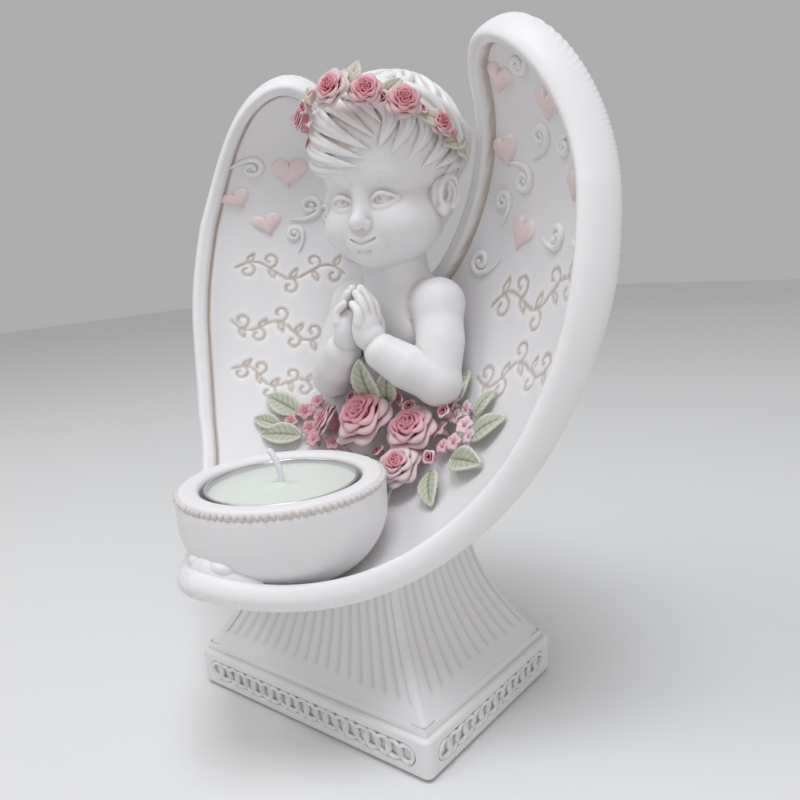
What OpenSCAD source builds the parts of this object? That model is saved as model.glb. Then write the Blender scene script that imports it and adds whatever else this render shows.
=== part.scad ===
/* [Plinth] */
// Width of the plinth, left to right
plinth_w = 83; // [66:1:104]
// Depth of the plinth, front to back
plinth_d = 59; // [48:1:74]
// Height of the plinth's square band
band_h = 9.9; // [8:0.1:13]
// Height of the sloping shoulder above the band
shoulder_h = 2.1; // [1.5:0.1:3]
// How far the shoulder steps in
shoulder_in = 2; // [1:0.1:3]
// Corner radius of the plinth
corner_r = 2; // [1:0.1:4]
// Thickness of the felt sheet under the plinth
felt_t = 0.8; // [0.5:0.1:1.5]

/* [Pedestal] */
// Half width of the pedestal where it meets the shell, as a share of its foot
waist = 0.62; // [0.5:0.01:0.75]

/* [Wing shell] */
// Radius that the shell is bent to, across its width
bend_r = 88; // [75:1:105]
// Reach of a wing from the middle line, along the sheet
wing_reach = 78; // [65:1:94]
// Thickness of the shell at the sides of the wings
side_t = 7.5; // [6:0.1:9]
// Thickness of the shell at its front tip
tip_t = 3; // [2:0.1:4]
// Height of the raised rim round each wing
rim_h = 3; // [2:0.1:4]
// Width of the raised rim
rim_w = 5; // [4:0.1:7]

/* [Candle holder] */
// Diameter of the tealight
tealight_d = 38; // [31:0.5:46]
// Height of the tealight's cup
tealight_h = 14.5; // [11:0.5:17]
// Play between the tealight and the bore of the holder, on the diameter
tealight_play = 2; // [1:0.1:3]
// Width of the holder's flat rim
holder_rim = 5.8; // [4:0.1:8]
// How far the holder's rim stands above the tealight's cup
holder_over = 0.8; // [0.2:0.1:2]

/* [Cherub] */
// Width of the head across the hair
head_w = 43; // [37:1:50]
// Diameter of the upper arm
arm_d = 13; // [11:0.5:15]

/* [Flowers] */
// Diameter of the middle rose of the bouquet
rose_d = 21; // [17:0.5:24]
// Diameter of the largest rose of the crown
crown_rose_d = 9; // [7:0.5:11]

/* [Hidden] */

$fn = 48;
soft_fn = 24;

// ---- Colours ----
resin = "ivory";
petal = "lightpink";
leaf_green = "darkseagreen";

// ---- Plinth and pedestal ----
plinth_top = felt_t + band_h;
pedestal_z = plinth_top + shoulder_h;
felt_in = 2.5;
panel_edge = 2.3;
panel_depth = 0.9;
panel_in = 4;
panel_h = band_h - 2 * panel_edge;
panel_z = felt_t + band_h / 2;
ring_r = panel_h / 2 - 0.25;
ring_line = 0.8;
ring_pitch = 1.55 * ring_r;
ring_t = panel_depth - 0.2;
pedestal_w = plinth_w - 2 * shoulder_in;
pedestal_d = plinth_d - 2 * shoulder_in;
flare_h = 34;
pedestal_sink = 0.3;

// ---- Shell: a sheet bent across its width and curved along its spine ----
// The spine runs from the front tip up to the tops of the wings. Each arc is [length, start angle].
spine_start = [-54, 50];
spine_arcs = [[30, -31], [35, 8], [40, 43], [40, 66], [45, 84]];
spine_end_angle = 124;
tip_w = -5;
side_w = 128;
notch_w = 127;
apex = [wing_reach - 37, 197];
sink = 1;

// Angle at which arc i ends
function arc_end(i) = i < len(spine_arcs) - 1 ? spine_arcs[i + 1][1] : spine_end_angle;
// Point and heading at length q along an arc that starts at p
function arc_point(p, h0, h1, arc_len, q) =
    let (k = (h1 - h0) / arc_len, h = h0 + k * q, r = 180 / (PI * k))
    [p[0] + r * (sin(h) - sin(h0)), p[1] - r * (cos(h) - cos(h0)), h];
// Spine at length w: [y, z, heading]
function spine(w, i = 0, p = spine_start, from = 0) =
    let (arc_len = spine_arcs[i][0], h0 = spine_arcs[i][1])
    (w <= from + arc_len || i == len(spine_arcs) - 1)
        ? arc_point(p, h0, arc_end(i), arc_len, w - from)
        : spine(w, i + 1, arc_point(p, h0, arc_end(i), arc_len, arc_len), from + arc_len);
// Point at x across, w along and h in front of the sheet
function sheet(x, w, h = 0) =
    let (s = spine(w), a = x / bend_r * 180 / PI, drop = bend_r - (bend_r - h) * cos(a))
    [(bend_r - h) * sin(a), s[0] - sin(s[2]) * drop, s[1] + cos(s[2]) * drop];

function mix(a, b, t) = a + (b - a) * t;
function clamp01(t) = min(1, max(0, t));
function bezier(p, t) =
    pow(1 - t, 3) * p[0] + 3 * pow(1 - t, 2) * t * p[1] + 3 * (1 - t) * t * t * p[2] + pow(t, 3) * p[3];

// Outline of a wing on the flat sheet: the outer edge and the edge beside the head
neck_x = wing_reach - 52.5;
outer_low = [[0, tip_w], [14, tip_w], [wing_reach + 2, 60], [wing_reach, side_w]];
outer_high = [[wing_reach, side_w], [wing_reach - 1, 165], [wing_reach - 16, apex[1]], apex];
inner_low = [[0, notch_w], [9, notch_w], [neck_x - 1, 160], [neck_x, 178]];
inner_high = [[neck_x, 178], [neck_x + 0.5, 188], [neck_x + 5.5, apex[1]], apex];
low_share = 0.6;
neck_share = 0.88;
function outer_edge(s) = s < low_share
    ? bezier(outer_low, s / low_share)
    : bezier(outer_high, (s - low_share) / (1 - low_share));
function inner_edge(s) = s < low_share
    ? [0, mix(tip_w, notch_w, s / low_share)]
    : s < neck_share
        ? bezier(inner_low, (s - low_share) / (neck_share - low_share))
        : bezier(inner_high, (s - neck_share) / (1 - neck_share));

shell_rows = 40;
first_row = 0.015;
last_row = 0.985;
panel_columns = 4;

// Thickness of the shell behind the sheet at length w
function shell_t(w) = mix(tip_t, side_t, clamp01((w - 10) / 110));
// How much of the rim there is beside the head: it fades out at the bottom of the notch
function neck_rim(s) = clamp01((s - low_share + 0.05) / 0.05);
// One row across the wing: [point on the flat sheet, share of rim height, share of back thickness]
function wing_row(s) =
    let (a = inner_edge(s), b = outer_edge(s), span = norm(b - a))
    let (e = min(rim_w, 0.4 * span) / span, n = neck_rim(s))
    [
        [mix(a, b, 0), 0.4 * n, 1 - 0.5 * n],
        [mix(a, b, 0.3 * e), n, 1],
        [mix(a, b, 0.9 * e), n, 1],
        for (j = [0 : panel_columns])
            [mix(a, b, mix(1.15 * e, 1 - 1.15 * e, j / panel_columns)), 0, 1],
        [mix(a, b, 1 - 0.9 * e), 1, 1],
        [mix(a, b, 1 - 0.3 * e), 1, 1],
        [b, 0.4, 0.5]
    ];

// ---- Candle holder ----
bore_r = (tealight_d + tealight_play) / 2;
holder_r = bore_r + holder_rim;
bore_depth = tealight_h + holder_over;
bowl_h = bore_depth + 9;
holder_back = -2.2;
holder_y = holder_back - holder_r;
foot_r = holder_r - 11.8;
bore_z = 53.5;
holder_top = bore_z + bore_depth;
bead_r = 0.85;
bead_z = holder_top - 3.4;
bead_count = floor(PI * holder_r / bead_r * 0.96);

// ---- Tealight ----
cup_r = tealight_d / 2;
cup_wall = 0.4;
wax_play = 0.15;
wax_r = cup_r - cup_wall - wax_play;
wax_z = bore_z + cup_wall;
wax_h = tealight_h - 1.9;
wick_r = 0.9;
wick_bend_r = 12;
wick_bend = 40;
clip_r = 6.5;
clip_t = 0.4;
clip_tube_r = wick_r + 0.4;
clip_tube_h = 4;

// ---- Cherub ----
chest_w = 118;
bust_y = sheet(0, chest_w)[1] - 10.5;
shoulder = [15.5, bust_y - 1.5, 106.5];
elbow = [19, bust_y - 9.5, 86.5];
wrist = [4.8, bust_y - 18, 96.5];
arm_r = arm_d / 2;
wrist_r = arm_r * 0.62;
palm_r = 2.6;
palm_gap = 0.1;
fingertip = [palm_r + palm_gap, bust_y - 18.5, 111];
head_r = head_w / 2;
head_y = bust_y;
head_z = 147.5;
// The face is turned a little towards +X
head_turn = 8;
face_r = head_r - 2.5;
chin = [0, head_y - 12, 121.5];

// ---- Crown: a ring of flowers tilted down to the back of the head ----
crown_z = 148.5;
crown_rise = 13;
crown_r = head_r - 0.5;
// Each crown rose is [angle from the front, share of the largest rose]
crown_spots = [[-70, 0.75], [-42, 0.8], [6, 1.1], [27, 0.95], [50, 1], [75, 0.75]];
crown_bud_spots = [-56, -26, -10, 38, 63, 88];
crown_leaf_spots = [-84, -34, -18, 16, 33, 58, 83, 98];

// ---- Bouquet: each spot is [x across, w along, height in front of the sheet] ----
centre_spot = [-1, 79, 12];
right_spot = [17, 79, 6];
lower_spot = [15.5, 66.5, 5];
left_spot = [-20.5, 79, 6];
right_rose_d = rose_d * 0.69;
lower_rose_d = rose_d * 0.62;
left_rose_d = rose_d * 0.55;
bud_d = 3.6;
bud_spots = [
    [3, 89.5, 12], [8, 87, 10], [9.5, 83, 9], [-13, 86, 9],
    [24, 71, 4], [8, 71, 8], [-13, 72, 7], [-9, 88.5, 11]
];
blossom_d = 5.2;
blossom_spots = [
    [-32, 80, 2], [-27.5, 74.5, 2], [-29, 84, 2],
    [26, 86, 2], [32, 82, 2], [30, 76.5, 2], [35, 78, 2]
];
// Each leaf is [x, w, turn, length]
leaf_spots = [
    [-35, 78, 80, 13], [-31, 73, 110, 12], [-13, 71, 160, 11], [-24, 87, 40, 8],
    [22, 87, -40, 10], [36, 75, -75, 12], [32, 69, -115, 12], [21, 63, 200, 10]
];
// The leaf that stands up between the forearms
tall_leaf = [-2, 90, 0, 12];
tall_leaf_h = 13;

// ---- Relief on the wings ----
relief_t = 1.6;
// Each heart is [x, w, turn, width]
heart_rows_right = [
    [37, 181, -20, 9], [55, 174, -16, 11], [33, 161, 10, 9],
    [66, 147, -20, 10], [40, 137, -24, 10]
];
heart_rows_left = [[-36, 181, 12, 8], [-45.5, 165, -10, 11], [-63, 158, 25, 9], [-55, 146, 15, 9]];
scroll_line = 0.75;
// Each scroll is [x, w, turn, radius]
scroll_rows_right = [
    [48, 166, 20, 4.5], [40, 152, 200, 5], [31, 146, 60, 4],
    [56, 133, -30, 5], [70, 131, 120, 4], [22, 131, 30, 4.5]
];
scroll_rows_left = [
    [-57, 169, 200, 4.5], [-41, 151, 20, 4.5], [-35, 149, 200, 4],
    [-46, 142, 90, 3.5], [-27, 137, -20, 4]
];

// ==== Helpers ====

// Stands children on the sheet: X across, Y along the spine, Z out of the face
module on_sheet(x, w, h = 0, turn = 0) {
    s = spine(w);
    a = x / bend_r * 180 / PI;
    p = sheet(x, w, h);
    multmatrix([
        [cos(a), 0, -sin(a), p[0]],
        [-sin(s[2]) * sin(a), cos(s[2]), -sin(s[2]) * cos(a), p[1]],
        [cos(s[2]) * sin(a), sin(s[2]), cos(s[2]) * cos(a), p[2]],
        [0, 0, 0, 1]
    ])
        rotate([0, 0, turn]) children();
}

// Stands children on the crown: Z points out of the head, Y points up
module on_crown(angle, out = 0) {
    rotate_to = 90 - angle;
    translate([
        (crown_r + out) * sin(angle),
        head_y - (crown_r + out) * cos(angle),
        crown_z + crown_rise * cos(angle)
    ])
        rotate([0, 0, -rotate_to])
            rotate([0, 0, 90])
                rotate([0, 90, 0])
                    rotate([0, 0, 90])
                        children();
}

// Plate with rounded corners, standing on the plane it is drawn at
module rounded_plate(w, d, h, r) {
    linear_extrude(h) union() {
        square([w - 2 * r, d], center = true);
        square([w, d - 2 * r], center = true);
        for (x = [-1, 1], y = [-1, 1]) translate([x * (w / 2 - r), y * (d / 2 - r)]) circle(r);
    }
}

// Bar with round ends, lying along X
module stadium(length, height) {
    square([length - height, height], center = true);
    for (x = [-1, 1]) translate([x * (length - height) / 2, 0]) circle(height / 2);
}

// Puts children on the face of the plinth that looks along the given angle
module on_plinth_face(angle, half) {
    rotate([0, 0, angle]) translate([0, -half, panel_z]) rotate([90, 0, 0]) children();
}

// Open rose: a round heart with a ring of petals
module rose(d, petals = 5) {
    sphere(0.3 * d);
    for (i = [0 : petals - 1])
        rotate([0, 0, i * 360 / petals]) translate([0.29 * d, 0, -0.06 * d]) sphere(0.21 * d);
}

// Leaf with a pointed tip, growing along Y
module leaf(length) {
    width = 0.5 * length;
    r = (length * length / 4 + width * width / 4) / width;
    linear_extrude(1.6, center = true) intersection() {
        translate([r - width / 2, length / 2]) circle(r, $fn = 64);
        translate([width / 2 - r, length / 2]) circle(r, $fn = 64);
    }
}

// Relief heart, point down
module heart(width) {
    side = width * 0.56;
    lobe = side / 2;
    linear_extrude(relief_t + sink) rotate([0, 0, 45]) union() {
        square(side, center = true);
        translate([0, lobe]) circle(lobe);
        translate([lobe, 0]) circle(lobe);
    }
}

// Relief scroll: a half turn that runs on into a smaller curl
module scroll(r) {
    rotate_extrude(angle = 200) translate([r, 0]) circle(scroll_line, $fn = 16);
    translate([-r * 0.42, 0, 0])
        rotate([0, 0, 180]) rotate_extrude(angle = 250) translate([r * 0.58, 0]) circle(scroll_line, $fn = 16);
}

// ==== Foot ====

module felt_base() {
    color("gray") rounded_plate(plinth_w - 2 * felt_in, plinth_d - 2 * felt_in, felt_t, corner_r);
}

module panel_cut(length) {
    linear_extrude(2 * panel_depth, center = true) stadium(length, panel_h);
}

module plinth() {
    color(resin) union() {
        difference() {
            translate([0, 0, felt_t]) rounded_plate(plinth_w, plinth_d, band_h, corner_r);
            for (side = [0, 180]) {
                on_plinth_face(side, plinth_d / 2) panel_cut(plinth_w - 2 * panel_in);
                on_plinth_face(side + 90, plinth_w / 2) panel_cut(plinth_d - 2 * panel_in);
            }
        }
        translate([0, 0, plinth_top])
            rounded_plate(plinth_w - shoulder_in, plinth_d - shoulder_in, shoulder_h / 2, corner_r);
        translate([0, 0, plinth_top + shoulder_h / 2])
            rounded_plate(pedestal_w, pedestal_d, shoulder_h / 2, corner_r);
    }
}

// Row of rings that pass over each other, filling one panel
module ring_row(length) {
    room = length - 2 * ring_r - 2;
    count = floor(room / ring_pitch);
    translate([0, 0, -panel_depth]) linear_extrude(ring_t) difference() {
        union() for (i = [0 : count]) translate([(i - count / 2) * ring_pitch, 0]) circle(ring_r, $fn = 24);
        for (i = [0 : count]) translate([(i - count / 2) * ring_pitch, 0]) circle(ring_r - ring_line, $fn = 24);
    }
}

module plinth_ornament() {
    color(resin) for (side = [0, 180]) {
        on_plinth_face(side, plinth_d / 2) ring_row(plinth_w - 2 * panel_in);
        on_plinth_face(side + 90, plinth_w / 2) ring_row(plinth_d - 2 * panel_in);
    }
}

// Half width of the pedestal at height t above its foot, as a share of the foot
function flare(t) = waist + (1 - waist) * pow(1 - clamp01(t / flare_h), 1.9);

// Profile of the pedestal seen from one side, taller than the pedestal
module pedestal_profile(half) {
    steps = 10;
    side = [for (i = [0 : steps]) let (t = flare_h * i / steps) [half * flare(t), pedestal_z + t]];
    left = [for (i = [steps : -1 : 0]) [-side[i][0], side[i][1]]];
    polygon([for (p = side) p, [half * waist, holder_top], [-half * waist, holder_top], for (p = left) p]);
}

// Everything below the shell's spine, seen from the side
module under_spine() {
    top = [for (w = [10 : 8 : 106]) let (p = sheet(0, w, -pedestal_sink)) [p[1], p[2]]];
    polygon([for (p = top) p, [top[len(top) - 1][0], 0], [top[0][0], 0]]);
}

module pedestal() {
    reach = pedestal_w;
    color(resin) intersection() {
        translate([0, reach, 0]) rotate([90, 0, 0]) linear_extrude(2 * reach) pedestal_profile(pedestal_w / 2);
        translate([-reach, 0, 0]) rotate([90, 0, 90]) linear_extrude(2 * reach) intersection() {
            pedestal_profile(pedestal_d / 2);
            under_spine();
        }
    }
}

// ==== Shell ====

module wing(side) {
    rows = [for (i = [0 : shell_rows]) wing_row(mix(first_row, last_row, i / shell_rows))];
    m = len(rows[0]);
    last = shell_rows * m;
    back = (shell_rows + 1) * m;
    front_points = [for (row = rows, c = row) sheet(c[0][0], c[0][1], c[1] * rim_h)];
    back_points = [for (row = rows, c = row) sheet(c[0][0], c[0][1], -c[2] * shell_t(c[0][1]))];
    faces = [
        for (i = [0 : shell_rows - 1], j = [0 : m - 2]) let (a = i * m + j)
            each [[a, a + m, a + 1], [a + 1, a + m, a + m + 1]],
        for (i = [0 : shell_rows - 1], j = [0 : m - 2]) let (a = back + i * m + j)
            each [[a, a + 1, a + m], [a + 1, a + m + 1, a + m]],
        for (i = [0 : shell_rows - 1]) let (a = i * m)
            each [[a, back + a, a + m], [a + m, back + a, back + a + m]],
        for (i = [0 : shell_rows - 1]) let (a = i * m + m - 1)
            each [[a, a + m, back + a], [a + m, back + a + m, back + a]],
        for (j = [0 : m - 2]) each [[j, j + 1, back + j], [j + 1, back + j + 1, back + j]],
        for (j = [0 : m - 2]) let (a = last + j)
            each [[a, back + a, a + 1], [a + 1, back + a, back + a + 1]]
    ];
    mirror([side < 0 ? 1 : 0, 0, 0]) polyhedron(concat(front_points, back_points), faces, convexity = 8);
}

module right_wing() { color(resin) wing(1); }
module left_wing() { color(resin) wing(-1); }

module candle_holder() {
    outline = [
        [0, 0], [foot_r, 0], [foot_r + 3.6, 1], [holder_r - 4.4, 4.2], [holder_r - 1.3, 8.6],
        [holder_r, 13], [holder_r + 0.1, bowl_h - 6], [holder_r - 0.4, bowl_h - 3.9],
        [holder_r, bowl_h - 3], [holder_r, bowl_h - 0.8], [holder_r - 0.8, bowl_h], [0, bowl_h]
    ];
    color(resin) translate([0, holder_y, holder_top - bowl_h]) difference() {
        rotate_extrude() polygon(outline);
        translate([0, 0, bowl_h - bore_depth]) cylinder(r = bore_r, h = bore_depth + 1);
    }
}

module bead_ring() {
    color(resin) translate([0, holder_y, bead_z]) for (i = [0 : bead_count - 1])
        rotate([0, 0, i * 360 / bead_count]) translate([holder_r - 0.1, 0, 0]) sphere(bead_r, $fn = 16);
}

module front_scroll() {
    r = 2.6;
    tip = sheet(0, 2, r);
    color(resin) translate(tip) union() {
        for (x = [-1, 1]) translate([x * 5, 0, 0]) sphere(r);
        rotate([0, 90, 0]) cylinder(r = r, h = 10, center = true);
    }
}

// ==== Cherub ====

module ball(p, r) { translate(p) sphere(r, $fn = soft_fn); }

module torso() {
    neck_r = 8;
    color(resin) union() {
        hull() {
            for (x = [-1, 1]) ball([x * (shoulder[0] - 4), shoulder[1], shoulder[2] - 1], arm_r);
            ball([0, bust_y + 1, 100], 11);
            for (x = [-1, 1]) ball([x * 6, bust_y - 1.5, 85], 10);
        }
        hull() {
            for (x = [-1, 1]) ball([x * 6, bust_y - 1.5, 85], 10);
            ball([0, bust_y - 5, 76], 8);
        }
        translate([0, bust_y - 1, 108]) cylinder(r = neck_r, h = 12);
    }
}

module arm(side) {
    mirror([side < 0 ? 1 : 0, 0, 0]) union() {
        hull() {
            ball(shoulder, arm_r);
            ball(elbow, arm_r - 0.6);
        }
        hull() {
            ball(elbow, arm_r - 0.6);
            ball(wrist, wrist_r);
        }
        hull() {
            ball(wrist, wrist_r - 0.8);
            ball([palm_r + palm_gap, wrist[1], wrist[2] + 4], palm_r);
            ball(fingertip, palm_r);
        }
    }
}

module right_arm() { color(resin) arm(1); }
module left_arm() { color(resin) arm(-1); }

module turned_head() {
    translate([0, head_y, 0]) rotate([0, 0, head_turn]) translate([0, -head_y, 0]) children();
}

module head() {
    cheek_r = 7.5;
    color(resin) turned_head() union() {
        hull() {
            ball([0, head_y, head_z], face_r);
            for (x = [-1, 1]) ball([x * 8, head_y - 10.5, 128], cheek_r);
            ball(chin, 4.5);
            ball([0, head_y - 3, 127], 10.5);
        }
        ball([0, head_y - face_r + 0.4, 129.5], 2.2);
        for (x = [-1, 1]) hull() {
            ball([x * (face_r - 1), head_y - 3, 136.5], 2.8);
            ball([x * (face_r - 2.4), head_y - 3, 132], 1.9);
        }
    }
}

module hair() {
    color(resin) turned_head() difference() {
        hull() {
            ball([0, head_y, head_z + 1.5], head_r);
            ball([0, head_y + 6, 132], 12);
        }
        translate([0, head_y - head_r - 4, 118]) rotate([-28, 0, 0])
            cube([2 * head_w, 2 * head_r, 2 * 31], center = true);
    }
}

// ==== Flowers ====

module crown_roses() {
    color(petal) for (c = crown_spots) on_crown(c[0], 1.2) rose(c[1] * crown_rose_d);
}

module crown_buds() {
    color(petal) for (a = crown_bud_spots) on_crown(a, 0.8) sphere(bud_d / 2);
}

module crown_leaves() {
    color(leaf_green) for (a = crown_leaf_spots) on_crown(a, 0.4) rotate([0, 0, a > 0 ? -25 : 25])
        translate([0, -1, 0]) leaf(0.8 * crown_rose_d);
}

module sheet_rose(spot, d, petals = 5) {
    color(petal) on_sheet(spot[0], spot[1], spot[2]) rose(d, petals);
}

module rose_centre() { sheet_rose(centre_spot, rose_d); }
module rose_right() { sheet_rose(right_spot, right_rose_d); }
module rose_lower() { sheet_rose(lower_spot, lower_rose_d); }
module rose_left() { sheet_rose(left_spot, left_rose_d); }

module bouquet_buds() {
    color(petal) for (b = bud_spots) on_sheet(b[0], b[1], b[2]) sphere(bud_d / 2);
}

module bouquet_blossoms() {
    color(petal) for (b = blossom_spots) on_sheet(b[0], b[1], b[2]) sphere(blossom_d / 2);
}

module bouquet_leaves() {
    color(leaf_green) union() {
        for (l = leaf_spots) on_sheet(l[0], l[1], 0.6, l[2]) leaf(l[3]);
        on_sheet(tall_leaf[0], tall_leaf[1], tall_leaf_h, tall_leaf[2]) leaf(tall_leaf[3]);
    }
}

// ==== Relief ====

module hearts(rows) {
    color("mistyrose") for (c = rows) on_sheet(c[0], c[1], -sink, c[2] + 180) heart(c[3]);
}

module scrolls(rows) {
    color(resin) for (c = rows) on_sheet(c[0], c[1], 0.2, c[2]) scroll(c[3]);
}

module right_hearts() { hearts(heart_rows_right); }
module left_hearts() { hearts(heart_rows_left); }
module right_scrolls() { scrolls(scroll_rows_right); }
module left_scrolls() { scrolls(scroll_rows_left); }

// ==== Tealight ====

module tealight_cup() {
    color("silver") translate([0, holder_y, bore_z]) difference() {
        cylinder(r = cup_r, h = tealight_h);
        translate([0, 0, cup_wall]) cylinder(r = cup_r - cup_wall, h = tealight_h);
    }
}

module wax() {
    color("honeydew") translate([0, holder_y, wax_z]) difference() {
        cylinder(r = wax_r, h = wax_h);
        translate([0, 0, -1]) cylinder(r = wick_r, h = wax_h + 2);
        translate([0, 0, -1]) cylinder(r = clip_tube_r, h = clip_tube_h + 1);
        translate([0, 0, -1]) cylinder(r = clip_r, h = clip_t + 1);
    }
}

module wick_clip() {
    color("silver") translate([0, holder_y, wax_z]) difference() {
        union() {
            cylinder(r = clip_r, h = clip_t);
            cylinder(r = clip_tube_r, h = clip_tube_h);
        }
        translate([0, 0, clip_t]) cylinder(r = wick_r, h = clip_tube_h);
    }
}

module wick() {
    stem = wax_h - clip_t;
    color("white") translate([0, holder_y, wax_z + clip_t]) union() {
        cylinder(r = wick_r, h = stem);
        translate([-wick_bend_r, 0, stem]) rotate([90, 0, 0])
            rotate_extrude(angle = wick_bend) translate([wick_bend_r, 0]) circle(wick_r);
    }
}

felt_base();
plinth();
plinth_ornament();
pedestal();
left_wing();
right_wing();
candle_holder();
bead_ring();
front_scroll();
torso();
left_arm();
right_arm();
head();
hair();
crown_roses();
crown_buds();
crown_leaves();
rose_centre();
rose_right();
rose_lower();
rose_left();
bouquet_buds();
bouquet_leaves();
bouquet_blossoms();
left_hearts();
right_hearts();
left_scrolls();
right_scrolls();
tealight_cup();
wax();
wick_clip();
wick();
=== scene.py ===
import math

import bmesh
import bpy
import numpy as np
from mathutils import Euler, Matrix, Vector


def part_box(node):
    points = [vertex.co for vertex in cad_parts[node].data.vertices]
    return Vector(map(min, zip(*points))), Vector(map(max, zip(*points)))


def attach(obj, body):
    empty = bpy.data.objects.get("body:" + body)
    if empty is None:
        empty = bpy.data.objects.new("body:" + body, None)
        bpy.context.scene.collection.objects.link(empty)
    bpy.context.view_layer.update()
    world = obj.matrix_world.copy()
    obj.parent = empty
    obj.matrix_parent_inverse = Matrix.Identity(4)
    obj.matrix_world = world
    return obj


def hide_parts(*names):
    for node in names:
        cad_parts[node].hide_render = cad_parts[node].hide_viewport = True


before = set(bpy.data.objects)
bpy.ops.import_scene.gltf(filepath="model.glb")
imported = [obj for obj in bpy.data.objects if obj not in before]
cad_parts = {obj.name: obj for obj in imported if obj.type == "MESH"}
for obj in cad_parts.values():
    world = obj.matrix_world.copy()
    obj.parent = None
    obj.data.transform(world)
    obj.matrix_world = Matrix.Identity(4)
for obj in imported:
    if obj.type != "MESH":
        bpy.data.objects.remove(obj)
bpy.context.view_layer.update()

# All builders work in millimetres, in the frame's axes: the cherub faces -Y and +Z is up.
MM = 0.001
TAU = 2 * math.pi


def node_box(name):
    low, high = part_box(name)
    return np.array(low) / MM, np.array(high) / MM


# ======== Camera, floor and lights ========

CAMERA_AT = (140.3, -151.2, 123.2)
CAMERA_YAW, CAMERA_PITCH, CAMERA_ROLL = (math.radians(a) for a in (39.23, 11.46, -4.2))
CAMERA_LENS = 34.73


def make_camera():
    cy, sy = math.cos(CAMERA_YAW), math.sin(CAMERA_YAW)
    cp, sp = math.cos(CAMERA_PITCH), math.sin(CAMERA_PITCH)
    ahead = np.array([-sy * cp, cy * cp, -sp])
    level = np.array([cy, sy, 0.0])
    above = np.cross(level, ahead)
    cr, sr = math.cos(CAMERA_ROLL), math.sin(CAMERA_ROLL)
    right = level * cr + above * sr
    up = above * cr - level * sr
    camera = bpy.data.objects.new("camera", bpy.data.cameras.new("camera"))
    camera.data.lens = CAMERA_LENS
    camera.data.sensor_width = 36
    camera.data.clip_start = 0.01
    rows = [[right[i], up[i], -ahead[i], CAMERA_AT[i] * MM] for i in range(3)]
    camera.matrix_world = Matrix(rows + [[0, 0, 0, 1]])
    bpy.context.scene.collection.objects.link(camera)
    bpy.context.scene.camera = camera


def area_light(name, at, towards, size, power, colour):
    lamp = bpy.data.lights.new(name, "AREA")
    lamp.shape = "DISK"
    lamp.size = size
    lamp.energy = power
    lamp.color = colour
    holder = bpy.data.objects.new(name, lamp)
    bpy.context.scene.collection.objects.link(holder)
    z = np.array(at, float) - np.array(towards, float)
    z /= np.linalg.norm(z)
    x = np.cross([0, 0, 1.0], z)
    x /= np.linalg.norm(x)
    y = np.cross(z, x)
    holder.matrix_world = Matrix([[x[i], y[i], z[i], at[i]] for i in range(3)] + [[0, 0, 0, 1]])


def make_stage():
    world = bpy.data.worlds.new("studio")
    world.use_nodes = True
    world.node_tree.nodes["Background"].inputs["Color"].default_value = (1.0, 1.0, 1.0, 1)
    world.node_tree.nodes["Background"].inputs["Strength"].default_value = 0.42
    bpy.context.scene.world = world
    bpy.context.scene.view_settings.view_transform = "Standard"
    middle = (0, 0, 0.09)
    area_light("key", (-0.30, -0.34, 0.74), middle, 0.4, 1.25, (1.0, 0.985, 0.97))
    area_light("sky", (0.12, -0.16, 0.82), middle, 0.35, 2.7, (0.9, 0.94, 1.0))
    area_light("fill", (0.6, -0.38, 0.34), middle, 0.3, 0.4, (1.0, 0.95, 0.91))
    floor = mesh_piece("floor", *floor_grid())
    floor.data.materials.append(floor_material())


def floor_grid():
    ticks = np.linspace(-1500, 1500, 13)
    x, y = np.meshgrid(ticks, ticks, indexing="ij")
    points = np.stack([x.ravel(), y.ravel(), np.zeros(x.size)], -1)
    return points, grid_faces(13, 13)


# ======== Mesh helpers ========


def grid_faces(rows, columns, wrap_columns=False, flip=False):
    """Quads of a rows x columns grid of points stored row by row."""
    last = columns if wrap_columns else columns - 1
    i, j = np.meshgrid(np.arange(rows - 1), np.arange(last), indexing="ij")
    k = (j + 1) % columns
    quads = np.stack([i * columns + j, i * columns + k, (i + 1) * columns + k, (i + 1) * columns + j], -1)
    quads = quads.reshape(-1, 4)
    return quads[:, ::-1] if flip else quads


def mesh_piece(name, points, faces):
    """A new object from points in millimetres and a list or array of faces."""
    mesh = bpy.data.meshes.new(name)
    points = np.asarray(points, float) * MM
    faces = [faces] if isinstance(faces, np.ndarray) else faces
    loops = np.concatenate([f.ravel() for f in faces])
    sizes = np.concatenate([np.full(len(f), f.shape[1]) for f in faces])
    mesh.vertices.add(len(points))
    mesh.vertices.foreach_set("co", points.ravel())
    mesh.loops.add(len(loops))
    mesh.loops.foreach_set("vertex_index", loops.astype(np.int32))
    mesh.polygons.add(len(sizes))
    starts = np.concatenate([[0], np.cumsum(sizes)[:-1]])
    mesh.polygons.foreach_set("loop_start", starts.astype(np.int32))
    mesh.polygons.foreach_set("use_smooth", np.full(len(sizes), True))
    mesh.update(calc_edges=True)
    mesh.validate()
    piece = bpy.data.objects.new(name, mesh)
    bpy.context.scene.collection.objects.link(piece)
    return piece


def joined(parts):
    """One (points, faces) from several."""
    points, faces, start = [], [], 0
    for p, f in parts:
        for g in f if isinstance(f, list) else [f]:
            faces.append(np.asarray(g) + start)
        points.append(p)
        start += len(p)
    return np.concatenate(points), faces


def point_values(piece, name, values):
    layer = piece.data.attributes.new(name, "FLOAT", "POINT")
    layer.data.foreach_set("value", np.asarray(values, np.float32))


def piece_points(piece):
    co = np.empty(len(piece.data.vertices) * 3)
    piece.data.vertices.foreach_get("co", co)
    return co.reshape(-1, 3) / MM


def edge_ends(piece):
    ends = np.empty(len(piece.data.edges) * 2, np.int32)
    piece.data.edges.foreach_get("vertices", ends)
    return ends.reshape(-1, 2)


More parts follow.
